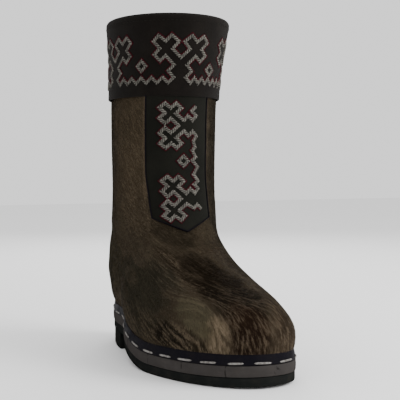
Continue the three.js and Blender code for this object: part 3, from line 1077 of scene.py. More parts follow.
@dataclass
class Welt:
    """The stitched strip round the foot of the upper."""

    last: Last
    margin: float = 0.008
    lip: float = 0.0014
    height: float = 0.0105
    top_edge: float = 0.0012
    columns: int = 300
    steps: int = 12
    bow: Triple = (0.0, 0.0, 0.0006)
    stitch_pitch: float = 0.0275
    stitch_length: float = 0.0175
    stitch_width: float = 0.0021
    stitch_height: float = 0.0011
    stitch_start: float = 0.52
    stitch_foot: float = 0.06
    stitch_head: float = 0.20
    stitch_rings: int = 13
    stitch_sides: int = 8

    def wall(self, angle: Array, share: Number, distance: Number) -> Array:
        """Returns points against the hide at a share of the strip's height."""
        gap = self.last.clearance
        seat = self.last.skin(0.0, angle)[..., 2]
        v = self.last.row_at_level(angle, seat + gap + self.height * share)
        return self.last.off(v, angle, np.full(np.shape(angle), gap + distance))

    def slope(self, angle: Array, share: Array) -> Array:
        """Returns points of the slope, from the outer lip to the hide."""
        foot = self.last.outline(angle, self.margin - 0.0002)
        foot[..., 2] = self.last.seat_at(foot) + self.last.clearance + self.lip
        head = self.wall(angle, 1.0, self.top_edge)
        share = np.asarray(share)[..., None]
        return mix(foot, head, share) + np.sin(np.pi * share) * self.bow

    def build(self) -> None:
        """Builds and dresses the strip and its stitches."""
        profile = self.steps + 8
        lifts = (0.0, 0.0002, self.lip * 0.7)
        backs = ((1.035, self.top_edge * 0.5), (1.0, 0.0), (0.66, 0.0), (0.33, 0.0))

        def place(u: Array, w: Array) -> Array:
            """Follows the section: underside, lip, slope, top edge and back of the strip."""
            angle = -u * TAU
            k = np.rint(w * profile).astype(int) % profile
            point = self.slope(angle, np.clip((k - len(lifts)) / self.steps, 0, 1))
            foot = self.last.outline(angle, np.where(k == 0, self.last.clearance, self.margin))
            foot[..., 2] = self.last.seat_at(foot) + self.last.clearance
            for number, lift in enumerate(lifts):
                point = np.where((k == number)[..., None], foot + (0.0, 0.0, lift), point)
            for number, (share, distance) in enumerate(backs, start=self.steps + 4):
                point = np.where((k == number)[..., None], self.wall(angle, share, distance), point)
            return point

        strip = wrap("welt_strip", self.columns, profile, place, 50)
        fasten(strip, "welt_leather", "navy_leather", "welt")
        fasten(self.stitches(), "welt_leather", "pale_thread")

    def stitches(self) -> Piece:
        """Builds the long stitches along the foot of the slope."""
        angle = np.linspace(0, TAU, 2401)
        run = run_along(self.slope(angle, np.full(angle.shape, 0.08)))
        count = int(round(run[-1] / self.stitch_pitch))
        rng = np.random.default_rng(11)
        share = np.linspace(-1, 1, self.stitch_rings)
        round_share = -np.arange(self.stitch_sides) % self.stitch_sides / self.stitch_sides
        body = (np.sqrt(np.clip(1 - np.abs(share) ** 6, 0, 1)) * 0.97 + 0.03)[:, None] / 2
        aside = np.cos(TAU * round_share) * self.stitch_width * body
        raised = np.sin(TAU * round_share) * self.stitch_height * body
        raised += self.stitch_height * (0.32 + 0.18 * (1 - share ** 2))[:, None]
        points, faces, uvs = [], [], []
        for number in range(count):
            centre = (number + self.stitch_start) * run[-1] / count + rng.normal(0, 0.0006)
            length = self.stitch_length * (1 + rng.normal(0, 0.05))
            skew = rng.normal(0, 0.02)
            a = np.interp((centre + share * length / 2) % run[-1], run, angle)
            spine = self.slope(a, self.stitch_foot + skew * share)
            side = unit(self.slope(a, self.stitch_head + skew * share) - spine)
            out = unit(np.cross(side, unit(np.gradient(spine, axis=0))))
            out *= np.sign(out[:, 2:3])
            start = number * self.stitch_rings * self.stitch_sides
            faces += strand_faces(self.stitch_rings, self.stitch_sides, start, False)
            points.append(spine[:, None] + side[:, None] * aside[..., None]
                          + out[:, None] * raised[..., None])
            flat = np.broadcast_arrays(share[:, None] * length / 2, round_share * self.stitch_width)
            uvs.append(np.stack(flat, axis=-1))
        return joined("welt_stitches", np.concatenate(points).reshape(-1, 3), np.array(faces),
                      np.concatenate(uvs).reshape(-1, 2))


# The hide and its hair

@dataclass(frozen=True)
class Patch:
    """A patch of the coat, placed on the foot or the leg."""

    # A few patches stand for painted highlights or painted shade rather than the coat's colour.
    v: float
    angle: float
    v_size: float
    angle_size: float
    screen: Triple
    strength: float
    contrast: float = 0.0

    def weight(self, v: Array, degrees: Array, fray: Array) -> Array:
        """Returns how strongly the patch colours each place."""
        apart = np.hypot((v - self.v) / self.v_size, (degrees - self.angle) / self.angle_size)
        return (1 - ease(0.55, 1.15, apart + fray)) * self.strength


@dataclass(frozen=True)
class Crease:
    """A soft trough or ridge from one place on the hide to another."""

    v0: float
    angle0: float
    v1: float
    angle1: float
    width: float
    depth: float


@dataclass
class Hide:
    """The hollow upper, with its creases and its coat."""

    last: Last
    wall: float = 0.0034
    columns: int = 264
    outer_rows: int = 230
    inner_rows: int = 44
    base: Triple = seen(52, 43, 33)
    contrast: float = 0.20
    fray: tuple[Triple, ...] = ((0.0, 0.011, 0.45), (0.5, 0.0045, 0.30))
    inner_gain: float = 1.6
    outer_gain: float = 1.75
    lining_gap: float = 0.0008
    lining_thickness: float = 0.0012
    patches: tuple[Patch, ...] = ()
    creases: tuple[Crease, ...] = ()

    def relief(self, v: Array, angle: Array) -> Array:
        """Returns how far the creases raise or sink the hide."""
        points = self.last.skin(v, angle)
        total = np.zeros(points.shape[:-1])
        for crease in self.creases:
            first = self.last.skin(crease.v0, math.radians(crease.angle0))
            run = self.last.skin(crease.v1, math.radians(crease.angle1)) - first
            share = np.clip(((points - first) @ run) / (run @ run), 0, 1)
            middle = self.last.skin(mix(crease.v0, crease.v1, share),
                                    np.radians(mix(crease.angle0, crease.angle1, share)))
            gap = np.linalg.norm(points - middle, axis=-1)
            fade = np.sin(np.pi * np.clip(share, 0.04, 0.96)) ** 0.6
            total += crease.depth * fade * bell(gap, 0.0, crease.width)
        return total

    def coat(self, v: Array, angle: Array, points: Array) -> tuple[Array, Array]:
        """Finds the coat's colour, with the painted highlights and painted shade of some patches.

        Args:
            v: row parameter of each place.
            angle: of each place.
            points: the places in space.
        Returns:
            The colour of each place, and how strongly light and dark hairs differ there.
        """
        degrees = np.degrees(half_turn(angle))
        colour = np.tile(np.array(self.base), (len(points), 1))
        contrast = np.full(len(points), self.contrast)
        fray = MOTTLE.layers(points, self.fray)
        # Some patches are painted highlights or painted shade, not the coat's own colour.
        for patch in self.patches:
            weight = patch.weight(v, degrees, fray)
            colour += (np.array(seen(*patch.screen)) - colour) * weight[:, None]
            contrast += (patch.contrast - contrast) * weight
        broad = MOTTLE.at(points + 2.0, 0.030) - 0.5
        small = MOTTLE.at(points + 4.0, 0.007) - 0.5
        colour *= (1 + 0.30 * broad + (0.10 + 0.16 * contrast) * small)[:, None]
        return np.clip(colour, 0, 1), contrast

    def split(self, w: Array) -> tuple[Array, Array]:
        """Returns the row parameter at a share of the wall, and whether it is the inner face."""
        total = self.outer_rows + self.inner_rows
        k = np.rint(w * total)
        inner = k > self.outer_rows
        share = np.where(inner, (total - k) / (self.inner_rows - 1), k / self.outer_rows)
        return share * self.last.top_row, inner

    def place(self, u: Array, w: Array) -> Array:
        """Follows the wall up its outside and down its inside."""
        angle = -u * TAU
        v, inner = self.split(np.where(w > 1 - 1e-6, 0.0, w))
        points = self.last.off(v, angle, np.where(inner, -self.wall, self.relief(v, angle)))
        flat = self.last.outline(angle, np.where(inner, -self.wall, 0.0))
        flat[..., 2] = self.last.seat_at(flat) + self.last.clearance
        points = np.where((v < 1e-6)[..., None], flat, points)
        rim = (v > self.last.top_row - 1e-6) & inner
        points[..., 2] = np.where(rim, self.last.collar_level, points[..., 2])
        return points

    def lining_place(self, u: Array, w: Array) -> Array:
        """Hangs the lining just inside the hide."""
        v = mix(self.last.top_row - 0.75, 1.1, w)
        return self.last.off(v, -u * TAU, np.full(u.shape, -self.wall - self.lining_gap))

    def build(self) -> None:
        """Builds and dresses the hide and the lining."""
        hide = wrap("hide_upper", self.columns, self.outer_rows + self.inner_rows, self.place)
        self.dress(hide)
        fasten(hide, "fur_hide", "hide_skin", "upper")
        lining = wrap("lining_fleece", 120, 90, self.lining_place)
        bpy.ops.object.modifier_add(type="SOLIDIFY")
        solidify = lining.modifiers[-1]
        solidify.thickness = self.lining_thickness
        solidify.offset = -1
        bpy.ops.object.modifier_apply(modifier=solidify.name)
        fasten(lining, "insole_felt", "sock_felt")

    def dress(self, hide: Piece) -> None:
        """Keeps the coat's colour, with the painted highlights and painted shade of its patches, on
        the hide's vertices.
        """
        mesh = hide.data
        uv = np.empty(len(mesh.loops) * 2)
        mesh.uv_layers[0].data.foreach_get("uv", uv)
        index = np.empty(len(mesh.loops), dtype=int)
        mesh.loops.foreach_get("vertex_index", index)
        shares = np.zeros((len(mesh.vertices), 2))
        shares[index] = uv.reshape(-1, 2)
        v, inner = self.split(shares[:, 1])
        colour, _ = self.coat(v, -shares[:, 0] * TAU, vertices(hide))
        tint(hide, "coat", colour * np.where(inner, self.inner_gain, self.outer_gain)[:, None])


@dataclass
class Hair:
    """Short hair that lies along the hide, darkened at the root as painted shade and paler at the
    tip.
    """

    hide: Hide
    length: float = 0.0040
    toe_length: float = 0.60
    width: float = 0.00050
    lift: float = 0.0006
    fringe_lift: float = 0.0022
    fringe: Pair = (0.0110, 0.0150)
    sunk: float = 0.0003
    parting: float = math.radians(20)
    lean: float = 0.75
    toe_lean: float = 0.14
    strand: float = 0.0009
    strand_length: float = 0.0042
    swirl: tuple[Triple, ...] = ((9.0, 0.016, 0.28), (11.0, 0.005, 0.16))
    pale: Triple = seen(128, 108, 88)
    dark: Triple = seen(20, 13, 8)
    gain: Triple = (3.0, 3.3, 3.4)
    # Colour factors of each hair's two root corners and its tip: the roots are darkened as painted
    # shade, the tip is made paler.
    painted_root_shade_pale_tip: Triple = (0.72, 0.72, 1.15)
    half_girth: float = 0.060
    rise_rows: Pair = (0.0, 7.0)
    rises: Triple = (0.0, 0.105, 0.33)
    length_spread: Pair = (0.65, 1.25)
    width_spread: Pair = (0.7, 1.5)
    lift_spread: Pair = (0.3, 1.5)
    gain_spread: Pair = (0.88, 1.12)
    turn_noise: float = 0.07
    roll_noise: float = 0.3
    draw_noise: float = 0.12
    pale_draw: Pair = (0.56, 0.70)
    pale_share: float = 0.55
    dark_draw: Pair = (0.30, 0.46)
    dark_share: float = 0.75

    def flow(self, v: Array, angle: Array) -> tuple[Array, Array, Array, Array]:
        """Finds how the hair lies.

        Args:
            v: row parameter of each root.
            angle: of each root.
        Returns:
            The roots, the way the hair lies, the outward direction, and a value of 0 to 1 that
            runs in streaks along the hair.
        """
        last = self.hide.last
        up, around, normal = last.axes(v, angle, 0.05)
        signed = half_turn(angle - self.parting)
        side = ease(0.0, 0.5, np.abs(signed)) * ease(0.0, 0.6, math.pi - np.abs(signed))
        toe = (1 - ease(2.6, 4.2, v)) * (1 - ease(0.7, 1.2, np.abs(angle)))
        lean = side * mix(self.lean, self.toe_lean, toe)
        way = -up - around * (np.sign(signed) * lean)[:, None]
        rise = np.interp(v, (*self.rise_rows, last.top_row), self.rises)
        across = np.abs(signed) * self.half_girth - lean * rise
        lines = np.stack([across / self.strand, rise / self.strand_length, np.sign(signed) * 3.0],
                         axis=1)
        streak = 0.65 * MOTTLE.at(lines, 1.0) + 0.35 * MOTTLE.at(lines * 2.1 + 5.0, 1.0)
        return last.skin(v, angle), unit(way), normal, streak

    def roots(self, rng: np.random.Generator, count: int, rows: Pair,
              side: int) -> tuple[Array, Array]:
        """Draws row parameters and angles, evenly by area, more than are needed."""
        skin = self.hide.last.skin
        v = rng.uniform(*rows, count * 3)
        angle = rng.uniform(0, math.pi, count * 3) * side
        here = skin(v, angle)
        up, around = skin(v + 0.01, angle) - here, skin(v, angle + 0.01) - here
        area = np.linalg.norm(np.cross(up, around), axis=-1)
        keep = rng.uniform(0, np.percentile(area, 97), len(v)) < area
        return v[keep], angle[keep]

    def grow(self, name: str, count: int, rows: Pair, side: int, seed: int,
             bare: Callable[[Array, Array], Array]) -> None:
        """Grows the hair of one part of the hide.

        Args:
            name: the piece's name.
            count: how many hairs.
            rows: lowest and highest row parameter.
            side: 1 for the inner side and -1 for the outer side.
            seed: of the random draws.
            bare: tells where no hair grows, from angle and place.
        """
        rng = np.random.default_rng(seed)
        v, angle = self.roots(rng, count, rows, side)
        root, way, normal, streak = self.flow(v, angle)
        keep = ~bare(angle, root)
        v, angle, root, way, normal, streak = (
            values[keep][:count] for values in (v, angle, root, way, normal, streak))
        n = len(v)
        root = root + normal * (self.hide.relief(v, angle) - self.sunk)[:, None]
        colour, contrast = self.hide.coat(v, angle, root)
        turn = MOTTLE.layers(root, self.swirl) * (0.5 + contrast) + rng.normal(0, self.turn_noise, n)
        way = unit(way * np.cos(turn)[:, None] + np.cross(normal, way) * np.sin(turn)[:, None])
        toe = (1 - ease(0.5, 1.25, np.abs(half_turn(angle)))) * (1 - ease(3.2, 5.0, v))
        length = self.length * (1 + self.toe_length * toe) * rng.uniform(*self.length_spread, n)
        roll = rng.normal(0, self.roll_noise, n)
        across = np.cross(normal, way) * np.cos(roll)[:, None] + normal * np.sin(roll)[:, None]
        across *= (self.width / 2 * rng.uniform(*self.width_spread, n))[:, None]
        low = 1 - ease(*self.fringe, root[:, 2] - self.hide.last.seat_at(root))
        lift = self.lift * rng.uniform(*self.lift_spread, n) + 0.2 * MM + self.fringe_lift * low
        tip = root + way * length[:, None] + normal * lift[:, None]
        points = np.stack([root - across, root + across, tip], axis=1).reshape(-1, 3)
        piece = joined(name, points, np.arange(n * 3).reshape(-1, 3))
        draw = streak + rng.normal(0, self.draw_noise, n)
        pale = self.pale_share * ease(*self.pale_draw, draw) * contrast
        dark = self.dark_share * (1 - ease(*self.dark_draw, draw)) * contrast
        colour += (np.array(self.pale) - colour) * pale[:, None]
        colour += (np.array(self.dark) - colour) * dark[:, None]
        colour *= np.array(self.gain) * rng.uniform(*self.gain_spread, n)[:, None]
        # Painted shade: each hair's root corners are darkened and its tip is made paler.
        painted_root_shade_pale_tip = colour[:, None] * np.array(self.painted_root_shade_pale_tip)[:, None]
        tint(piece, "coat", np.clip(painted_root_shade_pale_tip, 0, 1).reshape(-1, 3))
        fasten(piece, "fur_hide", "fur_hair")


# Cuff, panel and ornament

@dataclass
class Ribbon:
    """A flat braid or round cord laid along a path on a surface."""

    name: str
    width: float
    height: float
    lay: Lay
    section: tuple[Pair, ...] = (
        (-1.0, -0.10), (-0.92, 0.62), (-0.45, 1.0), (0.45, 1.0), (0.92, 0.62), (1.0, -0.10))

    def build(self, paths: list[Array], offset: float = 0.0, closed: bool = False,
              step: float = 0.0022) -> Piece:
        """Lays the ribbon.

        Args:
            paths: corner points of each path, in metres on the flat pattern.
            offset: how far to the left of the path it runs.
            closed: whether each path is a ring.
            step: longest straight run.
        Returns:
            The piece, whose UV map is in metres along and across.
        """
        points, faces, uvs = [], [], []
        sides = len(self.section)
        count = 0
        for path in paths:
            flat, left = self.spine(path, offset, closed, step)
            rows = [flat + left * (c * self.width / 2) for c, _ in self.section]
            heights = [np.full(len(flat), h * self.height) for _, h in self.section]
            solid = [self.lay(row[:, 0], row[:, 1], height) for row, height in zip(rows, heights)]
            points.append(np.stack(solid, axis=1).reshape(-1, 3))
            across = np.tile([c * self.width / 2 for c, _ in self.section], len(flat))
            uvs.append(np.stack([np.repeat(run_along(flat), sides), across], axis=1))
            faces += strand_faces(len(flat), sides, count, closed)
            count += len(flat) * sides
        return joined(self.name, np.vstack(points), np.array(faces), np.vstack(uvs), 60)

    def spine(self, path: Array, offset: float, closed: bool, step: float) -> tuple[Array, Array]:
        """Returns the places of the cross sections, and at each the leftward step of its edge."""
        left = self.mitre(path, closed)
        path = path + left * offset
        if closed:
            path, left = (np.vstack([values, values[:1]]) for values in (path, left))
        flat, lefts = [], []
        for a, b, corner in zip(path[:-1], path[1:], left[:-1]):
            pieces = max(1, int(np.ceil(np.linalg.norm(b - a) / step)))
            ahead = unit(b - a)
            flat += [mix(a, b, i / pieces) for i in range(pieces)]
            lefts += [corner] + [np.array([-ahead[1], ahead[0]])] * (pieces - 1)
        return np.array([*flat, path[-1]]), np.array([*lefts, left[-1]])

    @staticmethod
    def mitre(path: Array, closed: bool) -> Array:
        """Returns the leftward step at each corner that keeps the ribbon's width."""
        if closed:
            before = path - np.roll(path, 1, axis=0)
            after = np.roll(path, -1, axis=0) - path
        else:
            runs = np.diff(path, axis=0)
            before, after = np.vstack([runs[:1], runs]), np.vstack([runs, runs[-1:]])
        left_before, left_after = (
            np.stack([-ahead[:, 1], ahead[:, 0]], axis=1) for ahead in (unit(before), unit(after)))
        total = unit(left_before + left_after)
        return total / np.clip((total * left_after).sum(axis=1, keepdims=True), 0.45, 1)


@dataclass(frozen=True)
class Ornament:
    """A band of ornament: a braided line and braided rings, each with a red cord at one edge."""

    owner: str
    ring: str
    lay: Lay
    width: float
    ring_width: float
    height: float
    cord_side: int
    cord_gap: float = 0.0005

    def sew(self, line: Array, rings: list[Array]) -> None:
        """Lays the braids and the cords.

        Args:
            line: corner points of the line, on the flat pattern.
            rings: corner points of each ring.
        """
        side = self.width / 2 + self.cord_gap
        for part, finish, width, height, paths, offset, closed in (
                ("braid", "grey_braid", self.width, self.height, [line], 0.0, False),
                (f"braid_{self.ring}", "grey_braid", self.ring_width, self.height, rings, 0.0,
                 True),
                ("red_cord", "red_cord", 0.0010, 0.0007, [line], self.cord_side * side, False),
                (f"red_{self.ring}", "red_cord", 0.0009, 0.0006, rings, -side, True)):
            ribbon = Ribbon(f"{self.owner}_{part}", width, height, self.lay)
            fasten(ribbon.build(paths, offset, closed), "black_felt", finish)


@dataclass(frozen=True)
class TwinCross:
    """The ornament's twin cross, charted from its middle to its foot on one side."""

    half: tuple[Pair, ...]
    unit: float

    def outline(self) -> Array:
        """Returns the whole outline, from the left foot over both arms to the right foot."""
        half = np.array(self.half) * self.unit
        return np.vstack([half[::-1], half[1:] * (-1, 1)])


def rhomb(centre: Pair, half: float) -> Array:
    """Returns the corners of a small ring of ornament."""
    return np.array([(0, half), (-half, 0), (0, -half), (half, 0)]) + centre


CUFF_CROSS = TwinCross((
    (0.0, 0.0), (-1.45, 1.37), (-0.45, 2.50), (-1.65, 3.50), (-2.60, 2.54), (-3.75, 3.47),
    (-4.60, 2.54), (-3.54, 1.42), (-4.45, 0.48), (-3.43, -0.52), (-2.55, 0.31), (-1.07, -1.15),
    (-2.00, -2.10), (-1.00, -3.12), (-1.88, -4.00)), 0.0067)

PANEL_CROSS = TwinCross((
    (0.0, 0.0), (-7.75, 8.4), (-2.25, 15.2), (-8.25, 21.5), (-13.75, 15.0), (-19.5, 21.3),
    (-24.5, 14.7), (-19.25, 8.4), (-24.5, 2.5), (-19.25, -3.4), (-13.25, 2.9), (-5.75, -6.3),
    (-11.0, -11.2), (-6.0, -17.0), (-11.2, -21.6)), MM)


@dataclass
class Cuff:
    """The felt band over the collar, with its topstitch and its ornament."""

    last: Last
    height: float = 0.088
    wall: float = 0.0036
    lining: float = 0.0024
    turn: float = 0.030
    roll: float = 0.005
    hide_wall: float = 0.0034
    panel_gap: float = 0.0025
    columns: int = 240
    sharp: float = 70.0
    hang: float = 0.05
    sags: tuple[Triple, ...] = ((3, 0.7, 0.0005), (5, 2.0, 0.0004))
    crosses: tuple[float, ...] = (-0.1043, -0.0139, 0.0695, 0.1632, 0.2568)
    zigzags: tuple[int, ...] = (5, 6, 5, 5, 5)
    rings: tuple[Pair, ...] = (
        (0.0, -0.0084), (-0.0032, -0.0114), (0.0, -0.0095), (0.0, -0.0095), (0.0, -0.0095))
    ring_half: float = 0.0055
    zigzag_rise: float = 0.0060
    line_level: float = 0.3314
    braid_width: float = 0.0035
    braid_height: float = 0.0011
    stitch_count: int = 92
    stitch_share: float = 0.34
    stitch_drop: float = 0.0082
    stitch_radius: float = 0.0695

    def __post_init__(self) -> None:
        """Works out the levels."""
        self.top = self.last.collar_level + self.roll
        self.foot = self.top - self.height
        self.out = self.last.clearance + self.wall

    def drift(self, angle: Array, level: Array) -> Array:
        """Returns how far the lower part of the band waves outwards."""
        sag = sum(depth * np.sin(waves * angle + start) for waves, start, depth in self.sags)
        return sag * (1 - ease(self.foot, self.foot + self.hang, level))

    def surface(self, angle: Array, level: Array, rise: Array) -> Array:
        """Returns points on the outside of the band, raised by a height."""
        return self.last.leg_point(angle, level, self.out + self.drift(angle, level) + rise)

    def profile(self) -> Array:
        """Returns the level and depth of each point of the section, up the outside first."""
        gap, out, foot, top = self.last.clearance, self.out, self.foot, self.top
        collar, turned = self.last.collar_level, self.last.collar_level - self.turn
        inside = -(self.hide_wall + gap)
        lining = inside - self.lining
        hem = ((0.2, -2.2), (0.0, -1.6), (0.0, -1.0), (0.3, -0.4), (1.0, 0.0))
        outer_roll = ((0.25, 0.2), (0.5, 0.7), (0.72, 1.4), (0.88, 2.3))
        inner_roll = ((0.82, 1.3), (0.6, 0.6), (0.3, 0.15))
        rows = [(foot + up * MM, out + depth * MM) for up, depth in hem]
        rows += [(level, out) for level in np.linspace(foot + 0.003, collar - 0.002, 26)]
        rows += [(collar + self.roll * share, out - depth * MM) for share, depth in outer_roll]
        rows += [(top - 0.1 * MM, out - 3.3 * MM), (top, out - 4.4 * MM), (top, lining + 3.4 * MM),
                 (top - 0.2 * MM, lining + 2.4 * MM)]
        rows += [(collar + self.roll * share, lining + depth * MM) for share, depth in inner_roll]
        rows += [(level, lining) for level in np.linspace(collar, turned + 0.001, 8)]
        rows += [(turned, lining + 0.5 * MM), (turned, inside - 0.3 * MM),
                 (turned + 0.8 * MM, inside), (collar, inside), (collar + gap, inside + 0.2 * MM),
                 (collar + gap, gap - 0.2 * MM), (collar, gap)]
        rows += [(level, gap) for level in np.linspace(collar - 0.01, foot + 0.014, 6)]
        rows += [(foot + 0.0125, self.panel_gap + gap), (foot + 0.003, self.panel_gap + gap)]
        return np.array(rows)

    def build(self) -> None:
        """Builds and dresses the band, the ornament and the topstitch."""
        profile = self.profile()

        def place(u: Array, w: Array) -> Array:
            """Follows the section round the band."""
            angle = -u * TAU
            level, depth = profile[np.rint(w * len(profile)).astype(int) % len(profile)].T
            face = depth > self.out - 2.6 * MM
            return self.last.leg_point(angle, level, depth + face * self.drift(angle, level))

        band = wrap("cuff_band", self.columns, len(profile), place, self.sharp)
        fasten(band, "black_felt", "cuff_felt", "cuff")
        self.ornament()
        self.topstitch()

    def ornament(self) -> None:
        """Lays the braid and the red cord."""
        tape = Tape(lambda angle, level: self.surface(angle, level, self.braid_height),
                    self.line_level, self.line_level + self.braid_width)

        def lay(along: Array, across: Array, rise: Array) -> Array:
            """Lays the pattern on the band."""
            angle = tape.angle(along, np.full(along.shape, self.line_level))
            return self.surface(angle, self.line_level + across, rise)

        cross = CUFF_CROSS.outline()
        foot, low = cross[-1]
        line, rings = [], []
        following = (*self.crosses[1:], self.crosses[0] + tape.girth)
        for centre, after, teeth, (aside, drop) in zip(
                self.crosses, following, self.zigzags, self.rings):
            steps = np.arange(1, 2 * teeth)
            along = mix(centre + foot, after - foot, steps / (2 * teeth))
            zigzag = np.stack([along, low + self.zigzag_rise * (steps % 2)], axis=1)
            line += [cross + (centre, 0), zigzag]
            rings.append(rhomb(((centre + after) / 2 + aside, drop), self.ring_half))
        line = np.vstack([*line, line[0][:1] + (tape.girth, 0)])
        ornament = Ornament("cuff", "rings", lay, self.braid_width, self.braid_width,
                            self.braid_height, 1)
        ornament.sew(line, rings)

    def topstitch(self) -> None:
        """Sews the row of small stitches below the top edge."""
        level, pitch = self.top - self.stitch_drop, TAU / self.stitch_count
        rng = np.random.default_rng(5)
        paths = []
        for number in range(self.stitch_count):
            centre, half = pitch * (number + 0.5), pitch * self.stitch_share
            tilt = rng.normal(0, 0.0002)
            ends = np.array([[centre - half, level - tilt], [centre + half, level + tilt]])
            paths.append(ends * (self.stitch_radius, 1))
        ribbon = Ribbon("cuff_topstitch", 0.0008, 0.0003,
                        lambda a, b, h: self.surface(a / self.stitch_radius, b, h))
        fasten(ribbon.build(paths), "black_felt", "dull_thread")


@dataclass
class Panel:
    """The pointed felt plaque on the front of the shaft, with its ornament and piping."""

    last: Last
    cuff: Cuff
    length: float = 0.149
    point: float = 0.015
    taper: float = 0.054
    middle: float = -11.0
    half: float = 33.6
    foot_middle: float = -6.0
    foot_half: float = 33.0
    tuck: float = 0.008
    thickness: float = 0.0018
    edge: float = 0.0005
    gap: float = 0.0007
    columns: int = 44
    rows: int = 42
    piping_radius: float = 0.060
    piping_sink: float = 0.0009
    crosses: tuple[Pair, ...] = ((-0.0122, 0.2586), (-0.0089, 0.1783))
    lean: float = 0.03
    head_turns: tuple[Pair, ...] = ((0.0085, 0.2803), (0.0030, 0.2748))
    between_turns: tuple[Pair, ...] = (
        (0.0057, 0.2418), (0.0081, 0.2353), (0.0046, 0.2315), (0.0092, 0.2243), (0.0046, 0.2205),
        (0.0119, 0.2133), (0.0062, 0.2050), (0.0124, 0.1978), (0.0070, 0.1938))
    foot_turns: tuple[Pair, ...] = ((0.0064, 0.1673), (0.0112, 0.1715), (0.0168, 0.1663))
    ring_centre: Pair = (-0.0059, 0.2198)
    ring_half: float = 0.0055
    braid_width: float = 0.0041
    braid_height: float = 0.0011

    def __post_init__(self) -> None:
        """Works out the levels."""
        self.corner = self.cuff.foot - self.length + self.point
        self.head = self.cuff.foot + self.tuck

    def reach(self, across: Number, level: Array) -> Array:
        """Returns the direction, in degrees, that a share across of -1 to 1 has at a level."""
        share = ease(self.corner, self.corner + self.taper, level)
        half = mix(self.foot_half, self.half, share)
        return mix(self.foot_middle, self.middle, share) + across * half

    def lay(self, angle: Array, level: Array, rise: Number) -> Array:
        """Returns points on the panel's face, raised by a height."""
        v = self.last.row_at_level(angle, level)
        rise = np.broadcast_to(rise, np.shape(v))
        return self.last.off(v, angle, self.gap + self.thickness + rise)

    def place(self, u: Array, w: Array) -> Array:
        """Follows the plaque up its face and down its back."""
        k = np.rint(w * 2 * self.rows).astype(int)
        front = k < self.rows
        j = np.where(front, k, 2 * self.rows - 1 - k).clip(0, self.rows - 1) / (self.rows - 1)
        across = 2 * u - 1
        level = mix(self.corner - self.point * (1 - np.abs(across)), self.head, j)
        angle = np.radians(self.reach(across, level))
        rim = np.minimum(ease(0, 0.045, j), ease(0, 0.03, 1 - np.abs(across)))
        depth = self.gap + front * mix(self.thickness - self.edge, self.thickness, rim)
        return self.last.off(self.last.row_at_level(angle, level), angle, depth)

    def build(self) -> None:
        """Builds and dresses the plaque, its piping and its ornament."""
        panel = wrap("front_panel_felt", self.columns, 2 * self.rows, self.place, 50,
                     bpy.ops.mesh.fill)
        fasten(panel, "black_felt", "panel_felt", "front_panel")
        self.piping()
        self.ornament()

    def piping(self) -> None:
        """Lays the thin dark cord round the plaque's edge."""
        level = np.linspace(self.head - 0.006, self.corner, 60)
        left = np.stack([self.reach(-1.0, level), level], axis=1)
        right = np.stack([self.reach(1.0, level), level], axis=1)[::-1]
        path = np.vstack([left, [[self.foot_middle, self.corner - self.point]], right])
        path[:, 0] = np.radians(path[:, 0]) * self.piping_radius
        cord = Ribbon("panel_piping", 0.0013, 0.0017,
                      lambda a, b, h: self.lay(a / self.piping_radius, b, h - self.piping_sink))
        fasten(cord.build([path], step=0.004), "black_felt", "indigo_cord")

    def cross(self, along: float, level: float) -> Array:
        """Returns the twin cross turned on its side, its arms towards the outer side."""
        up = PANEL_CROSS.outline()
        return np.stack([along - up[:, 1] + self.lean * up[:, 0], level - up[:, 0]], axis=1)

    def ornament(self) -> None:
        """Lays the band of ornament down the plaque."""
        tape = Tape(lambda angle, level: self.lay(angle, level, self.braid_height),
                    self.corner, self.cuff.foot)

        def lay(along: Array, across: Array, rise: Array) -> Array:
            """Lays the pattern on the plaque."""
            return self.lay(tape.angle(along, across), across, rise)

        first, second = (self.cross(*place) for place in self.crosses)
        line = np.vstack([self.head_turns, first, self.between_turns,
                          second[:-len(self.foot_turns)], self.foot_turns])
        ornament = Ornament("panel", "ring", lay, self.braid_width, self.braid_width * 0.9,
                            self.braid_height, -1)
        ornament.sew(line, [rhomb(self.ring_centre, self.ring_half)])


# Floor, light and camera

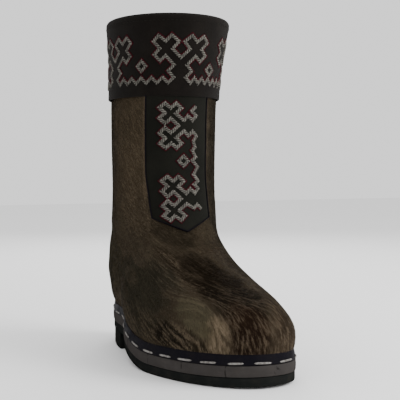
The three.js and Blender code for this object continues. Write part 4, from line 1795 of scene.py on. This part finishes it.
@dataclass
class Studio:
    """A pale floor, soft light and the photograph's camera."""

    distance: float = 1.0
    azimuth: float = -23.5
    height: float = 0.212
    leg_y: float = 0.0645
    pitch: float = 2.149
    aside: float = 2.435
    focal: float = 850.0
    picture: int = 400
    sensor: float = 36.0
    floor_size: float = 8.0
    floor_colour: Triple = (0.88, 0.88, 0.88)
    sky: float = 1.25
    aim: Triple = (0.0, 0.0, 0.15)
    lamps: tuple[tuple[str, Triple, float, float], ...] = (
        ("key", (1.1, -1.0, 0.9), 0.9, 34.0),
        ("fill", (-1.3, -0.7, 0.7), 1.2, 3.0),
        ("rim", (0.5, 1.2, 1.0), 0.9, 10.0),
    )

    def build(self) -> None:
        """Sets the floor, the lights and the camera."""
        deselect()
        bpy.ops.mesh.primitive_plane_add(size=self.floor_size)
        floor = bpy.context.object
        floor.name = "floor"
        material("pale_floor")[0].shade(self.floor_colour, 0.9, 0.1)
        floor.data.materials.append(bpy.data.materials["pale_floor"])
        scene = bpy.context.scene
        scene.world = scene.world or bpy.data.worlds.new("studio")
        scene.world.use_nodes = True
        sky = scene.world.node_tree.nodes["Background"].inputs
        sky[0].default_value = (1.0, 1.0, 1.0, 1.0)
        sky[1].default_value = self.sky
        for lamp in self.lamps:
            self.hang(*lamp)
        self.camera()

    def hang(self, name: str, place: Triple, size: float, power: float) -> None:
        """Hangs a soft square lamp that faces the boot."""
        bpy.ops.object.light_add(type="AREA", location=place)
        lamp = bpy.context.object
        lamp.name = name
        lamp.data.size = size
        lamp.data.energy = power
        lamp.rotation_euler = (Vector(self.aim) - Vector(place)).to_track_quat("-Z", "Y").to_euler()

    def camera(self) -> None:
        """Stands the camera where the photograph was taken, turned towards the one boot."""
        turn, tilt = math.radians(self.azimuth), math.radians(self.pitch)
        place = Vector((math.sin(turn) * self.distance, self.leg_y - math.cos(turn) * self.distance,
                        self.height))
        yaw = math.atan2(math.cos(turn), -math.sin(turn)) - math.radians(self.aside)
        level = math.cos(tilt)
        ahead = Vector((math.cos(yaw) * level, math.sin(yaw) * level, -math.sin(tilt)))
        bpy.ops.object.camera_add(location=place)
        camera = bpy.context.object
        camera.rotation_euler = ahead.to_track_quat("-Z", "Y").to_euler()
        camera.data.sensor_width = self.sensor
        camera.data.lens = self.focal / self.picture * self.sensor
        camera.data.clip_start = 0.05
        camera.data.clip_end = 30
        bpy.context.scene.camera = camera


# The whole boot

# Most patches are the coat's own colour; the ones marked below are painted highlights or painted
# shade.
PATCHES = (
    Patch(10.2, -70, 2.4, 26, (60, 49, 37), 0.65, 0.22),
    # Painted highlight: a pale stripe on the hair beside the panel's outer edge.
    Patch(9.9, -47.5, 2.0, 2.8, (80, 66, 52), 0.60, 0.10),
    # Painted shade: a slightly darker patch down the shaft's outer edge, on the side turned from the
    # light.
    Patch(8.6, -104, 2.6, 15, (50, 41, 32), 0.65, 0.14),
    Patch(7.6, -62, 1.0, 24, (50, 41, 31), 0.65, 0.40),
    Patch(7.0, -20, 0.9, 28, (32, 26, 18.5), 0.80, 0.14),
    Patch(7.0, 24, 1.3, 14, (48, 40, 30), 0.65, 0.10),
    Patch(4.3, -114, 3.0, 20, (48, 41, 29), 0.78, 0.14),
    Patch(7.2, -98, 1.2, 24, (54, 45, 34), 0.85, 0.14),
    Patch(3.2, -82, 1.9, 20, (36, 32, 24), 0.90, 0.06),
    Patch(4.3, -60, 1.0, 14, (37, 33, 25), 0.75, 0.42),
    # Painted highlight: these five pale spots follow the raised ridge of the first two creases.
    Patch(6.5, -47, 0.5, 8, (56, 47, 36), 0.70, 0.20),
    Patch(5.6, -65, 0.5, 8, (58, 49, 38), 0.75, 0.20),
    Patch(4.7, -80, 0.5, 7, (56, 47, 37), 0.75, 0.20),
    Patch(3.6, -90, 0.6, 6, (53, 45, 35), 0.70, 0.20),
    Patch(2.4, -97, 0.7, 6, (48, 41, 32), 0.60, 0.20),
    Patch(5.5, -46, 0.8, 12, (42, 34, 25), 0.85, 0.50),
    Patch(4.6, -40, 0.9, 9, (34, 27, 19), 0.85, 0.70),
    Patch(3.8, -36, 0.7, 8, (28, 21, 14), 0.80, 0.60),
    Patch(5.1, -18, 0.9, 24, (24, 18, 12), 0.80, 0.20),
    Patch(4.1, -14, 1.5, 28, (20, 14, 8), 0.97, 0.14),
    Patch(3.2, -15, 0.8, 25, (17, 12, 7.5), 0.95, 0.40),
    Patch(4.6, 27, 2.4, 9, (48, 38, 28), 0.65, 0.10),
    Patch(2.5, -47, 1.0, 13, (67, 59, 45), 0.92, 0.28),
    Patch(1.9, -40, 0.5, 8, (69, 60, 45), 0.85, 0.25),
    Patch(1.3, -62, 0.80, 16, (18, 14, 9), 0.94, 0.66),
    Patch(1.0, -46, 0.45, 9, (31, 25, 17), 0.80, 0.90),
    Patch(1.6, -82, 0.9, 12, (36, 31, 23), 0.70, 0.40),
    Patch(2.2, -17, 1.2, 15, (28, 17, 10), 0.95, 0.42),
    Patch(1.1, -18, 1.1, 15, (25, 15, 9), 0.95, 0.50),
    Patch(1.5, -36, 1.3, 7, (84, 70, 55), 0.88, 0.75),
    Patch(1.7, 13, 1.7, 15, (47, 37, 28), 0.95, 0.45),
    Patch(4.6, 50, 1.7, 18, (76, 65, 50), 0.70, 0.70),
    Patch(2.4, 60, 1.4, 24, (70, 60, 46), 0.70, 0.45),
    Patch(9.6, 100, 2.6, 60, (62, 53, 40), 0.60, 0.20),
    Patch(9.6, 42, 2.8, 16, (34, 28, 21), 0.92, 0.10),
)

CREASES = (
    Crease(1.7, -103, 4.1, -88.5, 0.008, 0.0009),
    Crease(4.1, -88.5, 6.8, -41, 0.008, 0.0011),
    Crease(6.4, -20, 6.1, 30, 0.009, -0.0012),
    Crease(6.3, -95, 6.9, -150, 0.011, -0.0012),
    Crease(6.5, 60, 6.9, 130, 0.011, -0.0012),
)

FINISHES = (
    FeltFinish("cuff_felt", seen(26, 22, 19), seen(44, 39, 34)),
    FeltFinish("panel_felt", seen(27, 27, 22), seen(45, 44, 37)),
    FeltFinish("sock_felt", seen(80, 70, 58), seen(108, 98, 84), 0.5),
    RubberFinish("black_rubber", seen(41, 43, 42), seen(56, 55, 53), 0.20),
    RubberFinish("grey_rubber", seen(84, 80, 78), seen(100, 95, 91), 0.20, 0.050),
    LeatherFinish("navy_leather", seen(27, 25, 32), seen(35, 33, 38)),
    BraidFinish("grey_braid", seen(147, 143, 134), seen(25, 23, 20)),
    ThreadFinish("red_cord", seen(86, 13, 29), seen(46, 9, 17)),
    ThreadFinish("indigo_cord", seen(23, 19, 28), seen(15, 13, 19)),
    ThreadFinish("pale_thread", seen(185, 181, 176), seen(122, 117, 112)),
    ThreadFinish("dull_thread", seen(44, 41, 37), seen(30, 28, 25)),
    HairFinish("hide_skin", 0.8, 0.5),
    HairFinish("fur_hair"),
)

FIELDS = (
    ("hair_foot_outer", 185_000, (0.2, 6.6), -1, 21),
    ("hair_foot_inner", 150_000, (0.2, 6.6), 1, 22),
    ("hair_shaft_outer", 120_000, (6.6, 12.0), -1, 23),
    ("hair_shaft_inner", 110_000, (6.6, 12.0), 1, 24),
)


@dataclass
class Coat:
    """The hair of the whole boot, wherever the hide shows."""

    hide: Hide
    cuff: Cuff
    panel: Panel
    quick_share: float = 0.35
    edge_turn: float = 1.2
    edge_drop: float = 0.0015
    tuck: float = 0.004
    welt_height: float = 0.0095

    def bare(self, angle: Array, points: Array) -> Array:
        """Tells where the panel, the cuff or the welt covers the hide."""
        panel, level = self.panel, points[:, 2]
        degrees = np.degrees(half_turn(angle))
        inside = degrees > panel.reach(-1.0, level) + self.edge_turn
        inside &= degrees < panel.reach(1.0, level) - self.edge_turn
        share = np.clip(np.abs(degrees - panel.foot_middle) / panel.foot_half, 0, 1)
        under = inside & (level > panel.corner - panel.point * (1 - share) + self.edge_drop)
        covered = level > self.cuff.foot + self.tuck
        return under | covered | (level < self.hide.last.seat_at(points) + self.welt_height)

    def build(self) -> None:
        share = 1.0
        for name, count, rows, side, seed in FIELDS:
            Hair(self.hide).grow(name, int(count * share), rows, side, seed, self.bare)


def main() -> None:
    """Builds the pieces in order, then the studio."""
    logging.basicConfig(level=logging.INFO, format="%(name)s: %(message)s")
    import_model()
    last = Last()
    sole = Sole(last)
    last.settle(*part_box("midsole"), sole.margin)
    effects = Effects()
    for finish in FINISHES:
        finish.make(effects)
    hide = Hide(last, patches=PATCHES, creases=CREASES)
    cuff = Cuff(last)
    panel = Panel(last, cuff)
    for part in (sole, Welt(last), hide, cuff, panel, Coat(hide, cuff, panel), Studio()):
        part.build()


if __name__ == "__main__":
    main()
